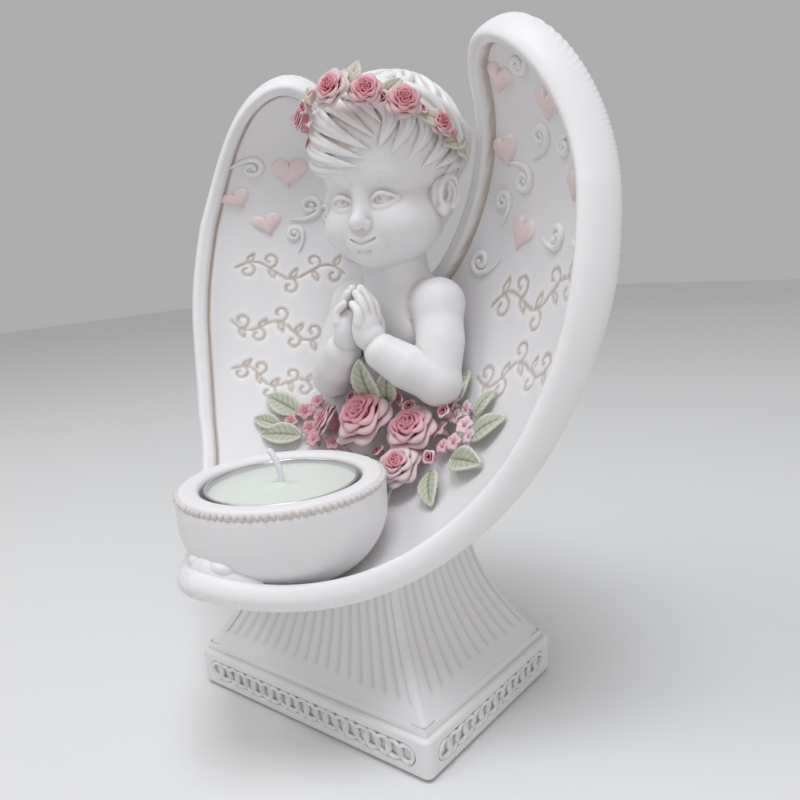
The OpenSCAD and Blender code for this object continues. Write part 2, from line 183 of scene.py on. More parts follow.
def neighbour_mean(values, ends, count):
    total = np.zeros_like(values)
    np.add.at(total, ends[:, 0], values[ends[:, 1]])
    np.add.at(total, ends[:, 1], values[ends[:, 0]])
    shape = (-1,) + (1,) * (values.ndim - 1)
    return total / np.maximum(count, 1).reshape(shape)


def add_wash(piece, gain=1.0, passes=5, extra=None):
    """Stores how far each point lies in a hollow, 0 to 1: the antique wash settles there. It also stores as
    crest how far each point stands out on a ridge, 0 to 1, where the materials paint a highlight.
    """
    ends = edge_ends(piece)
    points = piece_points(piece)
    count = np.bincount(ends.ravel(), minlength=len(points)).astype(float)
    normals = np.empty(len(points) * 3)
    piece.data.vertex_normals.foreach_get("vector", normals)
    normals = normals.reshape(-1, 3)
    smooth = points
    for _ in range(passes):
        smooth = 0.5 * smooth + 0.5 * neighbour_mean(smooth, ends, count)
    depth = ((smooth - points) * normals).sum(1)
    for _ in range(2):
        depth = 0.5 * depth + 0.5 * neighbour_mean(depth, ends, count)
    wash = np.clip(depth * 9.0 * gain, 0, 1)
    if extra is not None:
        wash = np.clip(wash + extra, 0, 1)
    point_values(piece, "wash", wash)
    # crest: ridges, where the materials lighten the colour as a painted highlight
    point_values(piece, "crest", np.clip(-depth * 9.0 * gain, 0, 1))


def end_fans(turns, top, centre):
    """Triangles that close the first ring and the ring that starts at point top, round points centre and
    centre + 1."""
    j = np.arange(turns)
    k = (j + 1) % turns
    low = np.stack([np.full(turns, centre), k, j], -1)
    return [low, np.stack([np.full(turns, centre + 1), top + j, top + k], -1)]


def lathe(profile, at, turns=96):
    """A closed solid of revolution about Z, from a profile of [radius, height] that starts and ends on it."""
    profile = np.asarray(profile, float)
    angle = np.linspace(0, TAU, turns, endpoint=False)
    inner = profile[1:-1]
    ring = np.stack([np.cos(angle), np.sin(angle)], -1)
    points = np.zeros((len(inner), turns, 3))
    points[..., :2] = inner[:, None, 0:1] * ring[None]
    points[..., 2] = inner[:, None, 1]
    points = points.reshape(-1, 3)
    caps = end_fans(turns, (len(inner) - 1) * turns, len(points))
    points = np.concatenate([points, [[0, 0, profile[0, 1]], [0, 0, profile[-1, 1]]]])
    return points + np.asarray(at, float), [grid_faces(len(inner), turns, True)] + caps


def rounded_profile(corners, step=0.35):
    """A profile through corners of [radius, height, rounding], each rounded by a quadratic arc."""
    out = [np.array(corners[0][:2], float)]
    for before, corner, after in zip(corners[:-2], corners[1:-1], corners[2:]):
        p, a, b = (np.array(c[:2], float) for c in (corner, before, after))
        la, lb = np.linalg.norm(a - p), np.linalg.norm(b - p)
        r = min(corner[2], 0.48 * la, 0.48 * lb)
        start, end = p + (a - p) * r / la, p + (b - p) * r / lb
        for t in np.linspace(0, 1, 2 + int(r / step) if r > 0 else 1):
            out.append((1 - t) ** 2 * start + 2 * t * (1 - t) * p + t * t * end)
    out.append(np.array(corners[-1][:2], float))
    return np.array(out)


def tube(path, radii, sides=10, across=None):
    """A closed tube with domed ends along path, with a radius at each point."""
    path = np.asarray(path, float)
    radii = np.broadcast_to(np.asarray(radii, float), (len(path),)).copy()
    along = np.gradient(path, axis=0)
    along /= np.linalg.norm(along, axis=1)[:, None]
    ends = []
    for sign, row in ((-1, 0), (1, -1)):
        steps = np.array([0.92, 0.6]) if sign < 0 else np.array([0.6, 0.92])
        ends.append((path[row] + sign * along[row] * radii[row] * steps[:, None],
                     radii[row] * np.sqrt(1 - steps**2)))
    spots = np.concatenate([ends[0][0], path, ends[1][0]])
    sizes = np.concatenate([ends[0][1], radii, ends[1][1]])
    tangents = np.concatenate([along[:1], along[:1], along, along[-1:], along[-1:]])
    side = np.zeros_like(spots)
    guide = np.array(across if across is not None else [0.31, 0.52, 0.79], float)
    for i, t in enumerate(tangents):
        guide = guide - t * (guide @ t)
        guide /= np.linalg.norm(guide)
        side[i] = guide
    other = np.cross(tangents, side)
    angle = np.linspace(0, TAU, sides, endpoint=False)
    ring = side[:, None] * np.cos(angle)[None, :, None] + other[:, None] * np.sin(angle)[None, :, None]
    points = (spots[:, None] + ring * sizes[:, None, None]).reshape(-1, 3)
    tips = np.array([path[0] - along[0] * radii[0], path[-1] + along[-1] * radii[-1]])
    caps = end_fans(sides, (len(spots) - 1) * sides, len(points))
    return np.concatenate([points, tips]), [grid_faces(len(spots), sides, True)] + caps


def distance_to_lines(points, lines):
    """Least distance from 2-D points to a set of polylines."""
    best = np.full(len(points), 1e9)
    for line in lines:
        a, b = line[:-1], line[1:]
        ab = b - a
        length = np.maximum((ab**2).sum(1), 1e-12)
        for start in range(0, len(points), 20000):
            p = points[start:start + 20000, None]
            t = np.clip(((p - a) * ab).sum(-1) / length, 0, 1)
            gap = np.sqrt(((p - a - t[..., None] * ab) ** 2).sum(-1)).min(1)
            best[start:start + 20000] = np.minimum(best[start:start + 20000], gap)
    return best


def smoothstep(a, b, x):
    t = np.clip((x - a) / (b - a), 0, 1)
    return t * t * (3 - 2 * t)


# ======== The shell's sheet, as in the CAD model ========

BEND_R = 88.0
WING_REACH = 78.0
SIDE_T, TIP_T = 7.5, 3.0
RIM_H, RIM_W = 3.0, 5.0
SPINE_START = (-54.0, 50.0)
SPINE_ARCS = [(30, -31, 8), (35, 8, 43), (40, 43, 66), (40, 66, 84), (45, 84, 124)]
TIP_W, SIDE_W, NOTCH_W = -5.0, 128.0, 127.0
APEX = (WING_REACH - 37, 197.0)
NECK_X = WING_REACH - 52.5
LOW_SHARE, NECK_SHARE = 0.6, 0.88
OUTER_LOW = [(0, TIP_W), (14, TIP_W), (WING_REACH + 2, 60), (WING_REACH, SIDE_W)]
OUTER_HIGH = [(WING_REACH, SIDE_W), (WING_REACH - 1, 165), (WING_REACH - 16, APEX[1]), APEX]
INNER_LOW = [(0, NOTCH_W), (9, NOTCH_W), (NECK_X - 1, 160), (NECK_X, 178)]
INNER_HIGH = [(NECK_X, 178), (NECK_X + 0.5, 188), (NECK_X + 5.5, APEX[1]), APEX]


def bezier(p, t):
    p = np.array(p, float)
    t = np.atleast_1d(t)[:, None]
    return (1 - t) ** 3 * p[0] + 3 * (1 - t) ** 2 * t * p[1] + 3 * (1 - t) * t * t * p[2] + t**3 * p[3]


def spine(w):
    """Y, Z and heading of the spine at each length w."""
    w = np.asarray(w, float)
    y, z, heading = np.zeros_like(w), np.zeros_like(w), np.zeros_like(w)
    at = np.array(SPINE_START)
    start = 0.0
    for i, (length, h0, h1) in enumerate(SPINE_ARCS):
        here = w >= start if i else np.ones_like(w, bool)
        turn = math.radians(h1 - h0) / length
        h = math.radians(h0) + turn * (w - start)
        y = np.where(here, at[0] + (np.sin(h) - math.sin(math.radians(h0))) / turn, y)
        z = np.where(here, at[1] - (np.cos(h) - math.cos(math.radians(h0))) / turn, z)
        heading = np.where(here, h, heading)
        end = math.radians(h1)
        at = at + np.array([math.sin(end) - math.sin(math.radians(h0)),
                            math.cos(math.radians(h0)) - math.cos(end)]) / turn
        start += length
    return y, z, heading


def sheet(x, w, h=0.0):
    """Points at x across, w along and h in front of the sheet."""
    x, w, h = np.broadcast_arrays(np.asarray(x, float), w, h)
    y, z, heading = spine(w)
    a = x / BEND_R
    drop = BEND_R - (BEND_R - h) * np.cos(a)
    return np.stack([(BEND_R - h) * np.sin(a), y - np.sin(heading) * drop, z + np.cos(heading) * drop], -1)


def sheet_axes(x, w):
    """The directions across, along and out of the sheet at one spot, as columns."""
    a = x / BEND_R
    heading = float(spine(w)[2])
    ca, sa, ch, sh = math.cos(a), math.sin(a), math.cos(heading), math.sin(heading)
    return np.array([[ca, 0, -sa], [-sh * sa, ch, -sh * ca], [ch * sa, sh, ch * ca]])


def on_sheet(points, x, w, h=0.0, turn=0.0):
    """Moves points from a spot's own axes (across, along, out) to the frame."""
    c, s = math.cos(math.radians(turn)), math.sin(math.radians(turn))
    spin = np.array([[c, -s, 0], [s, c, 0], [0, 0, 1]])
    return np.asarray(points) @ (sheet_axes(x, w) @ spin).T + sheet(x, w, h)


def outer_edge(s):
    s = np.atleast_1d(s)
    low = bezier(OUTER_LOW, np.clip(s / LOW_SHARE, 0, 1))
    high = bezier(OUTER_HIGH, np.clip((s - LOW_SHARE) / (1 - LOW_SHARE), 0, 1))
    return np.where((s < LOW_SHARE)[:, None], low, high)


def inner_edge(s):
    s = np.atleast_1d(s)
    seam = np.stack([np.zeros_like(s), TIP_W + (NOTCH_W - TIP_W) * s / LOW_SHARE], -1)
    low = bezier(INNER_LOW, np.clip((s - LOW_SHARE) / (NECK_SHARE - LOW_SHARE), 0, 1))
    high = bezier(INNER_HIGH, np.clip((s - NECK_SHARE) / (1 - NECK_SHARE), 0, 1))
    return np.where((s < LOW_SHARE)[:, None], seam, np.where((s < NECK_SHARE)[:, None], low, high))


def shell_thickness(w):
    return TIP_T + (SIDE_T - TIP_T) * np.clip((w - 10) / 110, 0, 1)


# ======== Wings ========

WING_ROWS = 404
PANEL_STEPS = 120
# Distances from an edge at which a rim has its own columns
RIM_STEPS = np.array([0, 0.04, 0.16, 0.36, 0.65, 1.0, 1.4, 1.9, 2.5, 3.1, 3.7, 4.2, 4.6, 4.9, 5.2, 5.5,
                      5.9, 6.4])


def rim_profile(d):
    """Height of the rim at distance d from the edge: round outside, then a fine groove at the panel."""
    rise = RIM_H * np.sqrt(np.clip(1 - (1 - np.clip(d / 1.7, 0, 1)) ** 2, 0, 1))
    fall = smoothstep(RIM_W - 1.0, RIM_W + 0.1, d)
    groove = 0.45 * np.exp(-(((d - RIM_W - 0.25) / 0.38) ** 2))
    return rise * (1 - 0.06 * np.clip(d - 1.7, 0, 3)) * (1 - fall) - groove


def flourish(x, w, length, height, lean):
    """Polylines of one engraved vine: a wavy stem with curls and small leaves on alternate sides."""
    t = np.linspace(0, 1, 60)
    stem_w = w + lean * 0.22 * height * np.sin(TAU * 1.5 * t)
    lines = [np.stack([x + length * (t - 0.5), stem_w], -1)]
    for i, at in enumerate((0.1, 0.3, 0.5, 0.7, 0.9)):
        side = lean * (1 if i % 2 else -1)
        base = np.array([x + length * (at - 0.5), w + lean * 0.22 * height * math.sin(TAU * 1.5 * at)])
        curl = np.linspace(0, 1, 26)
        r = 0.24 * height * (1 - 0.72 * curl)
        angle = math.radians(-90) + curl * TAU * 0.95
        centre = base + np.array([0, side * 0.24 * height])
        lines.append(np.stack([centre[0] + r * np.cos(angle), centre[1] + side * r * np.sin(angle)], -1))
        leaf = np.linspace(0, 1, 12)
        tip = base + np.array([0.16 * height, -side * 0.3 * height])
        for bow in (-1, 1):
            bend = np.stack([leaf * 0, bow * 0.07 * height * np.sin(math.pi * leaf)], -1)
            lines.append(base + (tip - base) * leaf[:, None] + bend[:, ::-1])
    return lines


# Engraved rows on each wing: [x, w, length, height, lean]
ENGRAVED = {
    1: [(48, 118, 40, 15, 1), (44, 97, 34, 14, -1)],
    -1: [(-47, 129, 36, 12, 1), (-49, 108, 30, 12, -1), (-46, 89, 27, 11, 1)],
}


def feathers(x, w):
    """Relief of the wing's back: rows of feathers that point down, each with a shaft and barbs."""
    pitch_x, pitch_w = 11.0, 15.0
    total = np.zeros_like(x)
    row_top = np.full_like(x, -1e9)
    first = int(np.floor(w.min() / pitch_w)) - 2
    last = int(np.ceil(w.max() / pitch_w)) + 3
    for row in range(first, last):
        shift = 0.5 * (row % 2)
        column = np.floor(x / pitch_x - shift + 0.5)
        u = (x / pitch_x - shift - column)
        v = (w - row * pitch_w) / pitch_w
        tip = 0.75 * np.clip(np.abs(u) * 2, 0, 1) ** 2.2 - 0.75
        inside = (v > tip) & (v < 1.6)
        depth = np.clip(v - tip, 0, 3)
        barbs = 0.09 * np.sin(TAU * (v * 5.5 + np.abs(u) * 3.2)) * smoothstep(0.03, 0.1, np.abs(u))
        shaft = 0.22 * np.exp(-((u / 0.035) ** 2))
        edge = smoothstep(0, 0.09, depth)
        height = 0.95 * np.exp(-depth / 0.8) * edge + barbs * edge + shaft * edge
        newer = inside & (v > -0.8)
        total = np.where(newer & (row_top < -1e8), height, total)
        row_top = np.where(newer & (row_top < -1e8), row, row_top)
    return total


def wing_mesh(side):
    s = np.linspace(0, 1, WING_ROWS)
    a, b = inner_edge(s), outer_edge(s)
    span = np.maximum(np.linalg.norm(b - a, axis=1), 1e-6)
    squeeze = np.minimum(1, span / (2.2 * RIM_STEPS[-1]))
    near = RIM_STEPS[None] * squeeze[:, None] / span[:, None]
    middle = near[:, -1:] + (1 - 2 * near[:, -1:]) * np.linspace(0, 1, PANEL_STEPS + 2)[None, 1:-1]
    share = np.concatenate([near, middle, 1 - near[:, ::-1]], 1)
    columns = share.shape[1]
    flat = a[:, None] * (1 - share[..., None]) + b[:, None] * share[..., None]
    flat = flat.reshape(-1, 2)
    steps = np.linspace(0, 1, 260)
    outer_line = outer_edge(steps)
    notch_line = inner_edge(LOW_SHARE + (1 - LOW_SHARE) * steps)
    d_out = distance_to_lines(flat, [outer_line])
    d_in = distance_to_lines(flat, [notch_line])
    gap = np.minimum(d_out, d_in).reshape(WING_ROWS, columns)
    gap[:, -1] = 0
    gap[s >= LOW_SHARE, 0] = 0
    gap = gap.ravel()
    x, w = flat[:, 0], flat[:, 1]

    front = rim_profile(gap)
    cut = distance_to_lines(flat * [side, 1], [line for f in ENGRAVED[side] for line in flourish(*f)])
    carve = np.exp(-((cut / 0.42) ** 2)) * (gap > RIM_W + 1)
    front = front - 0.5 * carve

    thick = shell_thickness(w)
    round_off = np.sqrt(np.clip(1 - (1 - np.clip(gap / 3.4, 0, 1)) ** 2, 0, 1))
    wave = 0.16 * np.sin(TAU * (w * 0.62 + 0.05 * x))
    ridges = wave * np.exp(-((gap - 1.4) / 2.6) ** 2) * smoothstep(0, 0.5, gap)
    back_relief = feathers(x, w) * smoothstep(4.0, 7.5, gap) * smoothstep(62, 78, w + 0.35 * np.abs(x))
    back = -(thick * round_off + (ridges + back_relief) * round_off)

    top = sheet(x * side, w, front)
    under = sheet(x * side, w, back)
    n = len(top)
    flip = side < 0
    faces = [grid_faces(WING_ROWS, columns, flip=flip), grid_faces(WING_ROWS, columns, flip=not flip) + n]
    seam = np.arange(WING_ROWS - 1)[s[:-1] < LOW_SHARE]
    i = seam * columns
    wall = np.stack([i, i + columns, i + columns + n, i + n], -1)
    faces.append(wall[:, ::-1] if flip else wall)
    return np.concatenate([top, under]), faces, np.concatenate([0.9 * carve, np.zeros_like(carve)])


WELD_GAP = 0.002


def weld(piece):
    """Joins points that lie on each other and removes what has no area."""
    work = bmesh.new()
    work.from_mesh(piece.data)
    bmesh.ops.remove_doubles(work, verts=work.verts, dist=WELD_GAP * MM)
    bmesh.ops.dissolve_degenerate(work, edges=work.edges, dist=WELD_GAP * MM * 0.5)
    bmesh.ops.recalc_face_normals(work, faces=work.faces)
    work.to_mesh(piece.data)
    work.free()


def sharpen(piece, degrees=50):
    piece.data.set_sharp_from_angle(angle=math.radians(degrees))


def make_wing(side, name):
    points, faces, carve = wing_mesh(side)
    piece = mesh_piece(name + "_shell", points, faces)
    point_values(piece, "carve", carve)
    weld(piece)
    sharpen(piece, 60)
    carved = np.empty(len(piece.data.vertices), np.float32)
    piece.data.attributes["carve"].data.foreach_get("value", carved)
    add_wash(piece, 2.2, 4, carved * 0.8)
    stand_for(piece, name, resin)


# ======== Plinth and pedestal ========

BAND_TOP, SHOULDER_TOP = 10.7, 12.8
PANEL_H, PANEL_IN, PANEL_DEPTH = 5.3, 4.0, 0.9
FELT_T = 0.8


def rectangle_path(half_w, half_d, corner, step):
    """Closed path round a rectangle with round corners: points, outward normals, and the place along the
    side measured from its middle, with the side's number."""
    points, normals, along, sides = [], [], [], []
    for side, (half, depth) in enumerate([(half_w, half_d), (half_d, half_w), (half_w, half_d),
                                          (half_d, half_w)]):
        c, s = [(1, 0), (0, 1), (-1, 0), (0, -1)][side]
        flat = np.linspace(-(half - corner), half - corner, int(2 * half / step))
        arc = np.linspace(0, math.pi / 2, 10)[1:-1]
        local = [(u, -depth, 0, -1) for u in flat]
        local += [(half - corner + corner * math.sin(a), -depth + corner - corner * math.cos(a),
                   math.sin(a), -math.cos(a)) for a in arc]
        for x, y, nx, ny in local:
            points.append((c * x - s * y, s * x + c * y))
            normals.append((c * nx - s * ny, s * nx + c * ny))
            along.append(x)
            sides.append(side)
    return np.array(points), np.array(normals), np.array(along), np.array(sides)


def stadium_depth(u, v, length, height):
    """How far inside a bar with round ends a point lies."""
    du = np.maximum(np.abs(u) - (length - height) / 2, 0)
    return height / 2 - np.hypot(du, v)


def capped(rings):
    """Faces of stacked closed rings, with a fan at the bottom and the top."""
    count, turns = rings.shape[:2]
    points = rings.reshape(-1, 3)
    ends = np.stack([rings[0].mean(0), rings[-1].mean(0)])
    caps = end_fans(turns, (count - 1) * turns, len(points))
    return np.concatenate([points, ends]), [grid_faces(count, turns, True)] + caps


def make_plinth():
    high = node_box("plinth")[1]
    half_w, half_d = high[0], high[1]
    path, normal, along, side = rectangle_path(half_w, half_d, 2.0, 0.33)
    length = np.where(side % 2 == 0, 2 * half_w, 2 * half_d) - 2 * PANEL_IN
    middle = (FELT_T + BAND_TOP) / 2
    # Vertical section: [distance in from the band's face, height]
    section = rounded_profile([
        [6, FELT_T, 0], [0.1, FELT_T, 0.9], [0, middle, 0], [0, BAND_TOP, 0.9], [1.5, BAND_TOP + 0.35, 0.5],
        [1.7, BAND_TOP + 1.0, 0.4], [2.0, SHOULDER_TOP, 0.4], [6, SHOULDER_TOP + 0.1, 0],
    ], 0.12)
    rows = [section[:1]]
    for a, b in zip(section[:-1], section[1:]):
        steps = max(1, int(np.linalg.norm(b - a) / 0.16)) if b[0] < 3 and a[0] < 3 else 2
        rows.append(a + (b - a) * np.linspace(0, 1, steps + 1)[1:, None])
    rows = np.concatenate(rows)
    inset = stadium_depth(along[None], (rows[:, 1] - middle)[:, None], length[None], PANEL_H)
    push = -PANEL_DEPTH * smoothstep(-0.3, 0.35, inset) - rows[:, :1]
    xy = path[None] + normal[None] * push[..., None]
    rings = np.concatenate([xy, np.broadcast_to(rows[:, 1][:, None, None], xy.shape[:2] + (1,))], -1)
    piece = mesh_piece("plinth_block", *capped(rings))
    sharpen(piece, 60)
    add_wash(piece, 1.6, 6)
    stand_for(piece, "plinth", resin)


def on_plinth_face(points, side, half):
    """Moves points drawn on a panel (u along, v up, out) to one side of the plinth."""
    u, v, out = np.asarray(points).T
    c, s = [(1, 0), (0, 1), (-1, 0), (0, -1)][side]
    y = -half - out
    return np.stack([c * u - s * y, s * u + c * y, v + (FELT_T + BAND_TOP) / 2], -1)


def make_ornament():
    """A chain of rings that pass over and under each other in each recess, with a bead in each eye."""
    high = node_box("plinth")[1]
    parts = []
    ring_r, line_r = 2.1, 0.56
    for side in range(4):
        half_along, half_out = (high[0], high[1]) if side % 2 == 0 else (high[1], high[0])
        room = 2 * (half_along - PANEL_IN) - 2 * ring_r - 1.6
        count = int(room / 3.4)
        for i in range(count + 1):
            u0 = (i / count - 0.5) * room
            t = np.linspace(0, TAU, 29)[:-1]
            weave = 0.24 * np.sin(t * 2 + (0 if i % 2 else math.pi))
            ring = np.stack([u0 + 1.05 * ring_r * np.cos(t), ring_r * np.sin(t), -0.35 + weave], -1)
            closed = np.concatenate([ring, ring[:2]])
            p, f = tube(closed, line_r, 8, (0, 0, 1))
            parts.append((on_plinth_face(p, side, half_out), f))
            eye, faces = lathe([[0, -0.5], [0.34, -0.35], [0.48, 0], [0.34, 0.35], [0, 0.5]], (0, 0, 0), 10)
            eye = eye + [u0 + 1.7, 0, -0.5]
            parts.append((on_plinth_face(eye, side, half_out), faces))
    piece = mesh_piece("plinth_guilloche", *joined(parts))
    add_wash(piece, 1.0, 3, 0.25)
    stand_for(piece, "plinth_ornament", resin)


WAIST, FLARE_H = 0.62, 34.0
FLUTES = (17, 11)


def flare(t):
    return WAIST + (1 - WAIST) * (1 - np.clip(t / FLARE_H, 0, 1)) ** 1.9


def shell_z(x, y, depth):
    """Height of the surface at a depth behind the sheet, over points of the floor of the shell."""
    w = np.linspace(8, 120, 220)
    out = np.empty(len(x))
    for i, (px, py) in enumerate(zip(x, y)):
        line = sheet(px, w, -depth)
        out[i] = np.interp(py, line[:, 1], line[:, 2])
    return out


def make_pedestal():
    high = node_box("pedestal")[1]
    half_w, half_d = high[0], high[1]
    path, normal, along, side = rectangle_path(half_w, half_d, 1.3, 0.32)
    share = along / np.where(side % 2 == 0, half_w, half_d)
    count = np.where(side % 2 == 0, *FLUTES)
    z0 = SHOULDER_TOP
    top = np.full(len(path), 40.0)
    for _ in range(4):
        f = flare(top)
        top = shell_z(path[:, 0] * f, path[:, 1] * f, 1.2) - z0
    rows = np.linspace(0, 1, 110)
    t = top[None] * rows[:, None]
    f = flare(t)
    lane = (share[None] / 0.93) * count[None] / 2
    in_lanes = np.abs(share) < 0.93
    off = np.abs(lane - np.round(lane - 0.5) - 0.5)
    width = 0.19 + 0.05 * (1 - f)
    start = 3.4 + 0.6 * np.cos(share * 2.2)[None]
    cut = np.exp(-((off / width) ** 2.6)) * smoothstep(0, 1.1, t - start) * in_lanes[None]
    xy = path[None] * f[..., None] - normal[None] * (0.62 * cut)[..., None]
    rings = np.concatenate([xy, (z0 - 0.3 + t)[..., None]], -1)
    points, faces = capped(rings)
    points[-1, 2] -= 9
    piece = mesh_piece("pedestal_fluted", points, faces)
    sharpen(piece, 70)
    extra = np.concatenate([(0.3 * cut).ravel(), [0, 0]])
    add_wash(piece, 0.0, 1, extra)
    stand_for(piece, "pedestal", resin)


def make_felt():
    high = node_box("felt_base")[1]
    path, normal, along, _ = rectangle_path(high[0], high[1], 2.0, 1.2)
    levels = np.array([0.0, 0.0, 0.12, FELT_T - 0.12, FELT_T, FELT_T])
    pull = np.array([8.0, 0.25, 0.0, 0.0, 0.2, 8.0])
    fuzz = 0.12 * np.sin(along * 5.1)[None] * np.array([0, 1, 1, 1, 1, 0])[:, None]
    xy = path[None] - normal[None] * (pull[:, None] + fuzz)[..., None]
    rings = np.concatenate([xy, np.broadcast_to(levels[:, None, None], xy.shape[:2] + (1,))], -1)
    piece = mesh_piece("felt_sheet", *capped(rings))
    sharpen(piece, 50)
    stand_for(piece, "felt_base", felt)


# ======== Candle holder and tealight ========


def holder_frame():
    low, high = node_box("candle_holder")
    radius = (high[0] - low[0]) / 2
    return np.array([0, (low[1] + high[1]) / 2, 0]), high[2], radius


def make_holder():
    at, top, r = holder_frame()
    bore_low, bore_high = node_box("tealight_cup")
    bore_r = (bore_high[0] - bore_low[0]) / 2 + 1.0
    floor_z = bore_low[2]
    foot = node_box("candle_holder")[0][2]
    profile = rounded_profile([
        [0, foot, 0], [r - 12, foot, 2], [r - 5.6, foot + 3.6, 3], [r - 1.9, foot + 8.6, 3],
        [r - 0.1, foot + 13.5, 3],
        [r, top - 5, 2], [r - 0.1, top - 2.6, 0.3], [r - 0.6, top - 2.1, 0.2], [r - 0.6, top - 0.8, 0.4],
        [r - 1.3, top, 0.6], [bore_r + 1.1, top - 0.05, 0.7], [bore_r, top - 1.0, 0.7],
        [bore_r, floor_z + 0.6, 0.4], [bore_r - 0.6, floor_z, 0.4], [0, floor_z, 0],
    ], 0.25)
    piece = mesh_piece("holder_bowl", *lathe(profile, at, 160))
    sharpen(piece, 60)
    add_wash(piece, 1.4, 6)
    stand_for(piece, "candle_holder", resin)


def make_beads():
    at, top, r = holder_frame()
    z = top - 1.35
    count = 92
    dome, faces = lathe([[0, -0.78], [0.45, -0.62], [0.74, -0.2], [0.74, 0.25], [0.45, 0.62], [0, 0.8]],
                        (0, 0, 0), 12)
    parts = []
    for i in range(count):
        a = TAU * i / count
        lean = math.radians(24)
        c, s = math.cos(lean), math.sin(lean)
        p = dome @ np.array([[c, 0, s], [0, 1, 0], [-s, 0, c]])
        p = p * (1 + 0.12 * math.sin(i * 2.4))
        out = r - 0.45
        x, y = p[:, 1] + out, p[:, 0]
        spot = np.stack([x * math.cos(a) - y * math.sin(a), x * math.sin(a) + y * math.cos(a),
                         p[:, 2] + z], -1)
        parts.append((spot + at, faces))
    piece = mesh_piece("bead_trim", *joined(parts))
    add_wash(piece, 0.35, 3, 0.0)
    stand_for(piece, "bead_ring", resin)


def sheet_tube(path, radii, lift, sides=12):
    """A tube that follows a path of [x, w] on the sheet, its middle at a height in front of it."""
    path = np.asarray(path, float)
    spots = sheet(path[:, 0], path[:, 1], lift)
    return tube(spots, radii, sides)


def make_front_scroll():
    """Two folded lobes that close the rims at the front tip, with a small fold over them."""
    parts = []
    for side in (-1, 1):
        t = np.linspace(0, 1, 26)
        x = side * (0.2 + 12.5 * t)
        w = 0.5 + 5.5 * t**1.6
        radii = 3.5 * (1 - t) ** 0.6 + 0.7
        parts.append(sheet_tube(np.stack([x, w], -1), radii, 2.4 + 1.4 * (1 - t), 16))
        curl = np.linspace(0, 1, 26)
        angle = math.radians(200) + curl * math.radians(300)
        r = 3.3 * (1 - 0.62 * curl)
        x = side * (4.4 + r * np.cos(angle))
        w = 0.6 + r * np.sin(angle) * 0.8
        parts.append(sheet_tube(np.stack([x, w], -1), 1.6 - 0.5 * curl, 4.6 + 0.8 * curl, 12))
    piece = mesh_piece("front_scroll_fold", *joined(parts))
    add_wash(piece, 0.8, 4)
    stand_for(piece, "front_scroll", resin)


def make_tealight():
    low, high = node_box("tealight_cup")
    at = np.array([(low[0] + high[0]) / 2, (low[1] + high[1]) / 2, 0])
    r, z0, z1 = (high[0] - low[0]) / 2, low[2], high[2]
    wall = 0.35
    profile = rounded_profile([
        [0, z0 + 0.5, 0], [r - 3.2, z0 + 0.5, 0.3], [r - 2.6, z0, 0.3], [r - 0.7, z0, 0.6],
        [r - 0.25, z0 + 0.8, 0.5],
        [r - 0.35, z1 - 0.8, 0.2], [r, z1 - 0.5, 0.2], [r, z1, 0.25], [r - 0.55, z1, 0.25],
        [r - wall - 0.35, z1 - 0.7, 0.2],
        [r - wall - 0.2, z0 + 0.9, 0.3], [0, z0 + 0.9, 0],
    ], 0.12)
    cup = mesh_piece("tealight_foil_cup", *lathe(profile, at, 144))
    sharpen(cup, 40)
    stand_for(cup, "tealight_cup", foil, "tealight")

    low, high = node_box("wax")
    w_r, top = (high[0] - low[0]) / 2, high[2]
    profile = rounded_profile([
        [0, low[2] + 0.6, 0], [w_r - 0.6, low[2] + 0.6, 0.4], [w_r, low[2] + 1.4, 0.4],
        [w_r, top + 0.4, 0.15],
        [w_r - 0.5, top + 0.15, 0.3], [w_r - 2.2, top - 0.12, 0.8], [6.5, top - 0.05, 3],
        [2.4, top + 0.25, 1.2],
        [1.0, top + 0.95, 0.5], [0, top + 1.05, 0],
    ], 0.2)
    candle = mesh_piece("wax_block", *lathe(profile, at, 144))
    stand_for(candle, "wax", wax, "candle")

    low, high = node_box("wick")
    stem_top = node_box("wax")[1][2]
    bend_r, bend = 12.0, math.radians(44)
    straight = np.linspace(low[2], stem_top, 14)
    path = [[0, 0, z] for z in straight]
    path += [[-bend_r * (1 - math.cos(a)), 0.3 * math.sin(a * 3), stem_top + bend_r * math.sin(a)]
             for a in np.linspace(0, bend, 46)[1:]]
    path = np.array(path) + at
    t = np.arange(len(path))
    radii = 0.78 + 0.07 * np.sin(t * 1.9)
    thread = mesh_piece("wick_braid", *tube(path, radii, 12))
    stand_for(thread, "wick", cotton, "candle")

    low, high = node_box("wick_clip")
    disc_r = (high[0] - low[0]) / 2
    profile = rounded_profile([
        [0, low[2] + 0.1, 0], [disc_r - 0.2, low[2] + 0.1, 0.2], [disc_r, low[2] + 0.3, 0.15],
        [disc_r - 0.2, low[2] + 0.5, 0.1],
        [2.2, low[2] + 0.55, 0.5], [1.25, low[2] + 1.2, 0.4], [1.2, high[2], 0.15], [0, high[2], 0],
    ], 0.1)
    clip = mesh_piece("wick_sustainer", *lathe(profile, at, 60))
    sharpen(clip, 40)
    stand_for(clip, "wick_clip", foil, "candle")


# ======== Relief on the wings ========

# Hearts: [x, w, turn, width]; the turn leans the point of the heart
HEARTS = {
    1: [(36, 181, -24, 9.5), (54.5, 173.5, -14, 11), (33, 161, 6, 10), (66, 147, -16, 11),
        (39, 137, -26, 10.5)],
    -1: [(-36, 181, 10, 8), (-45.5, 165, -14, 12), (-64, 158, 20, 10), (-55, 146, 14, 10)],
}
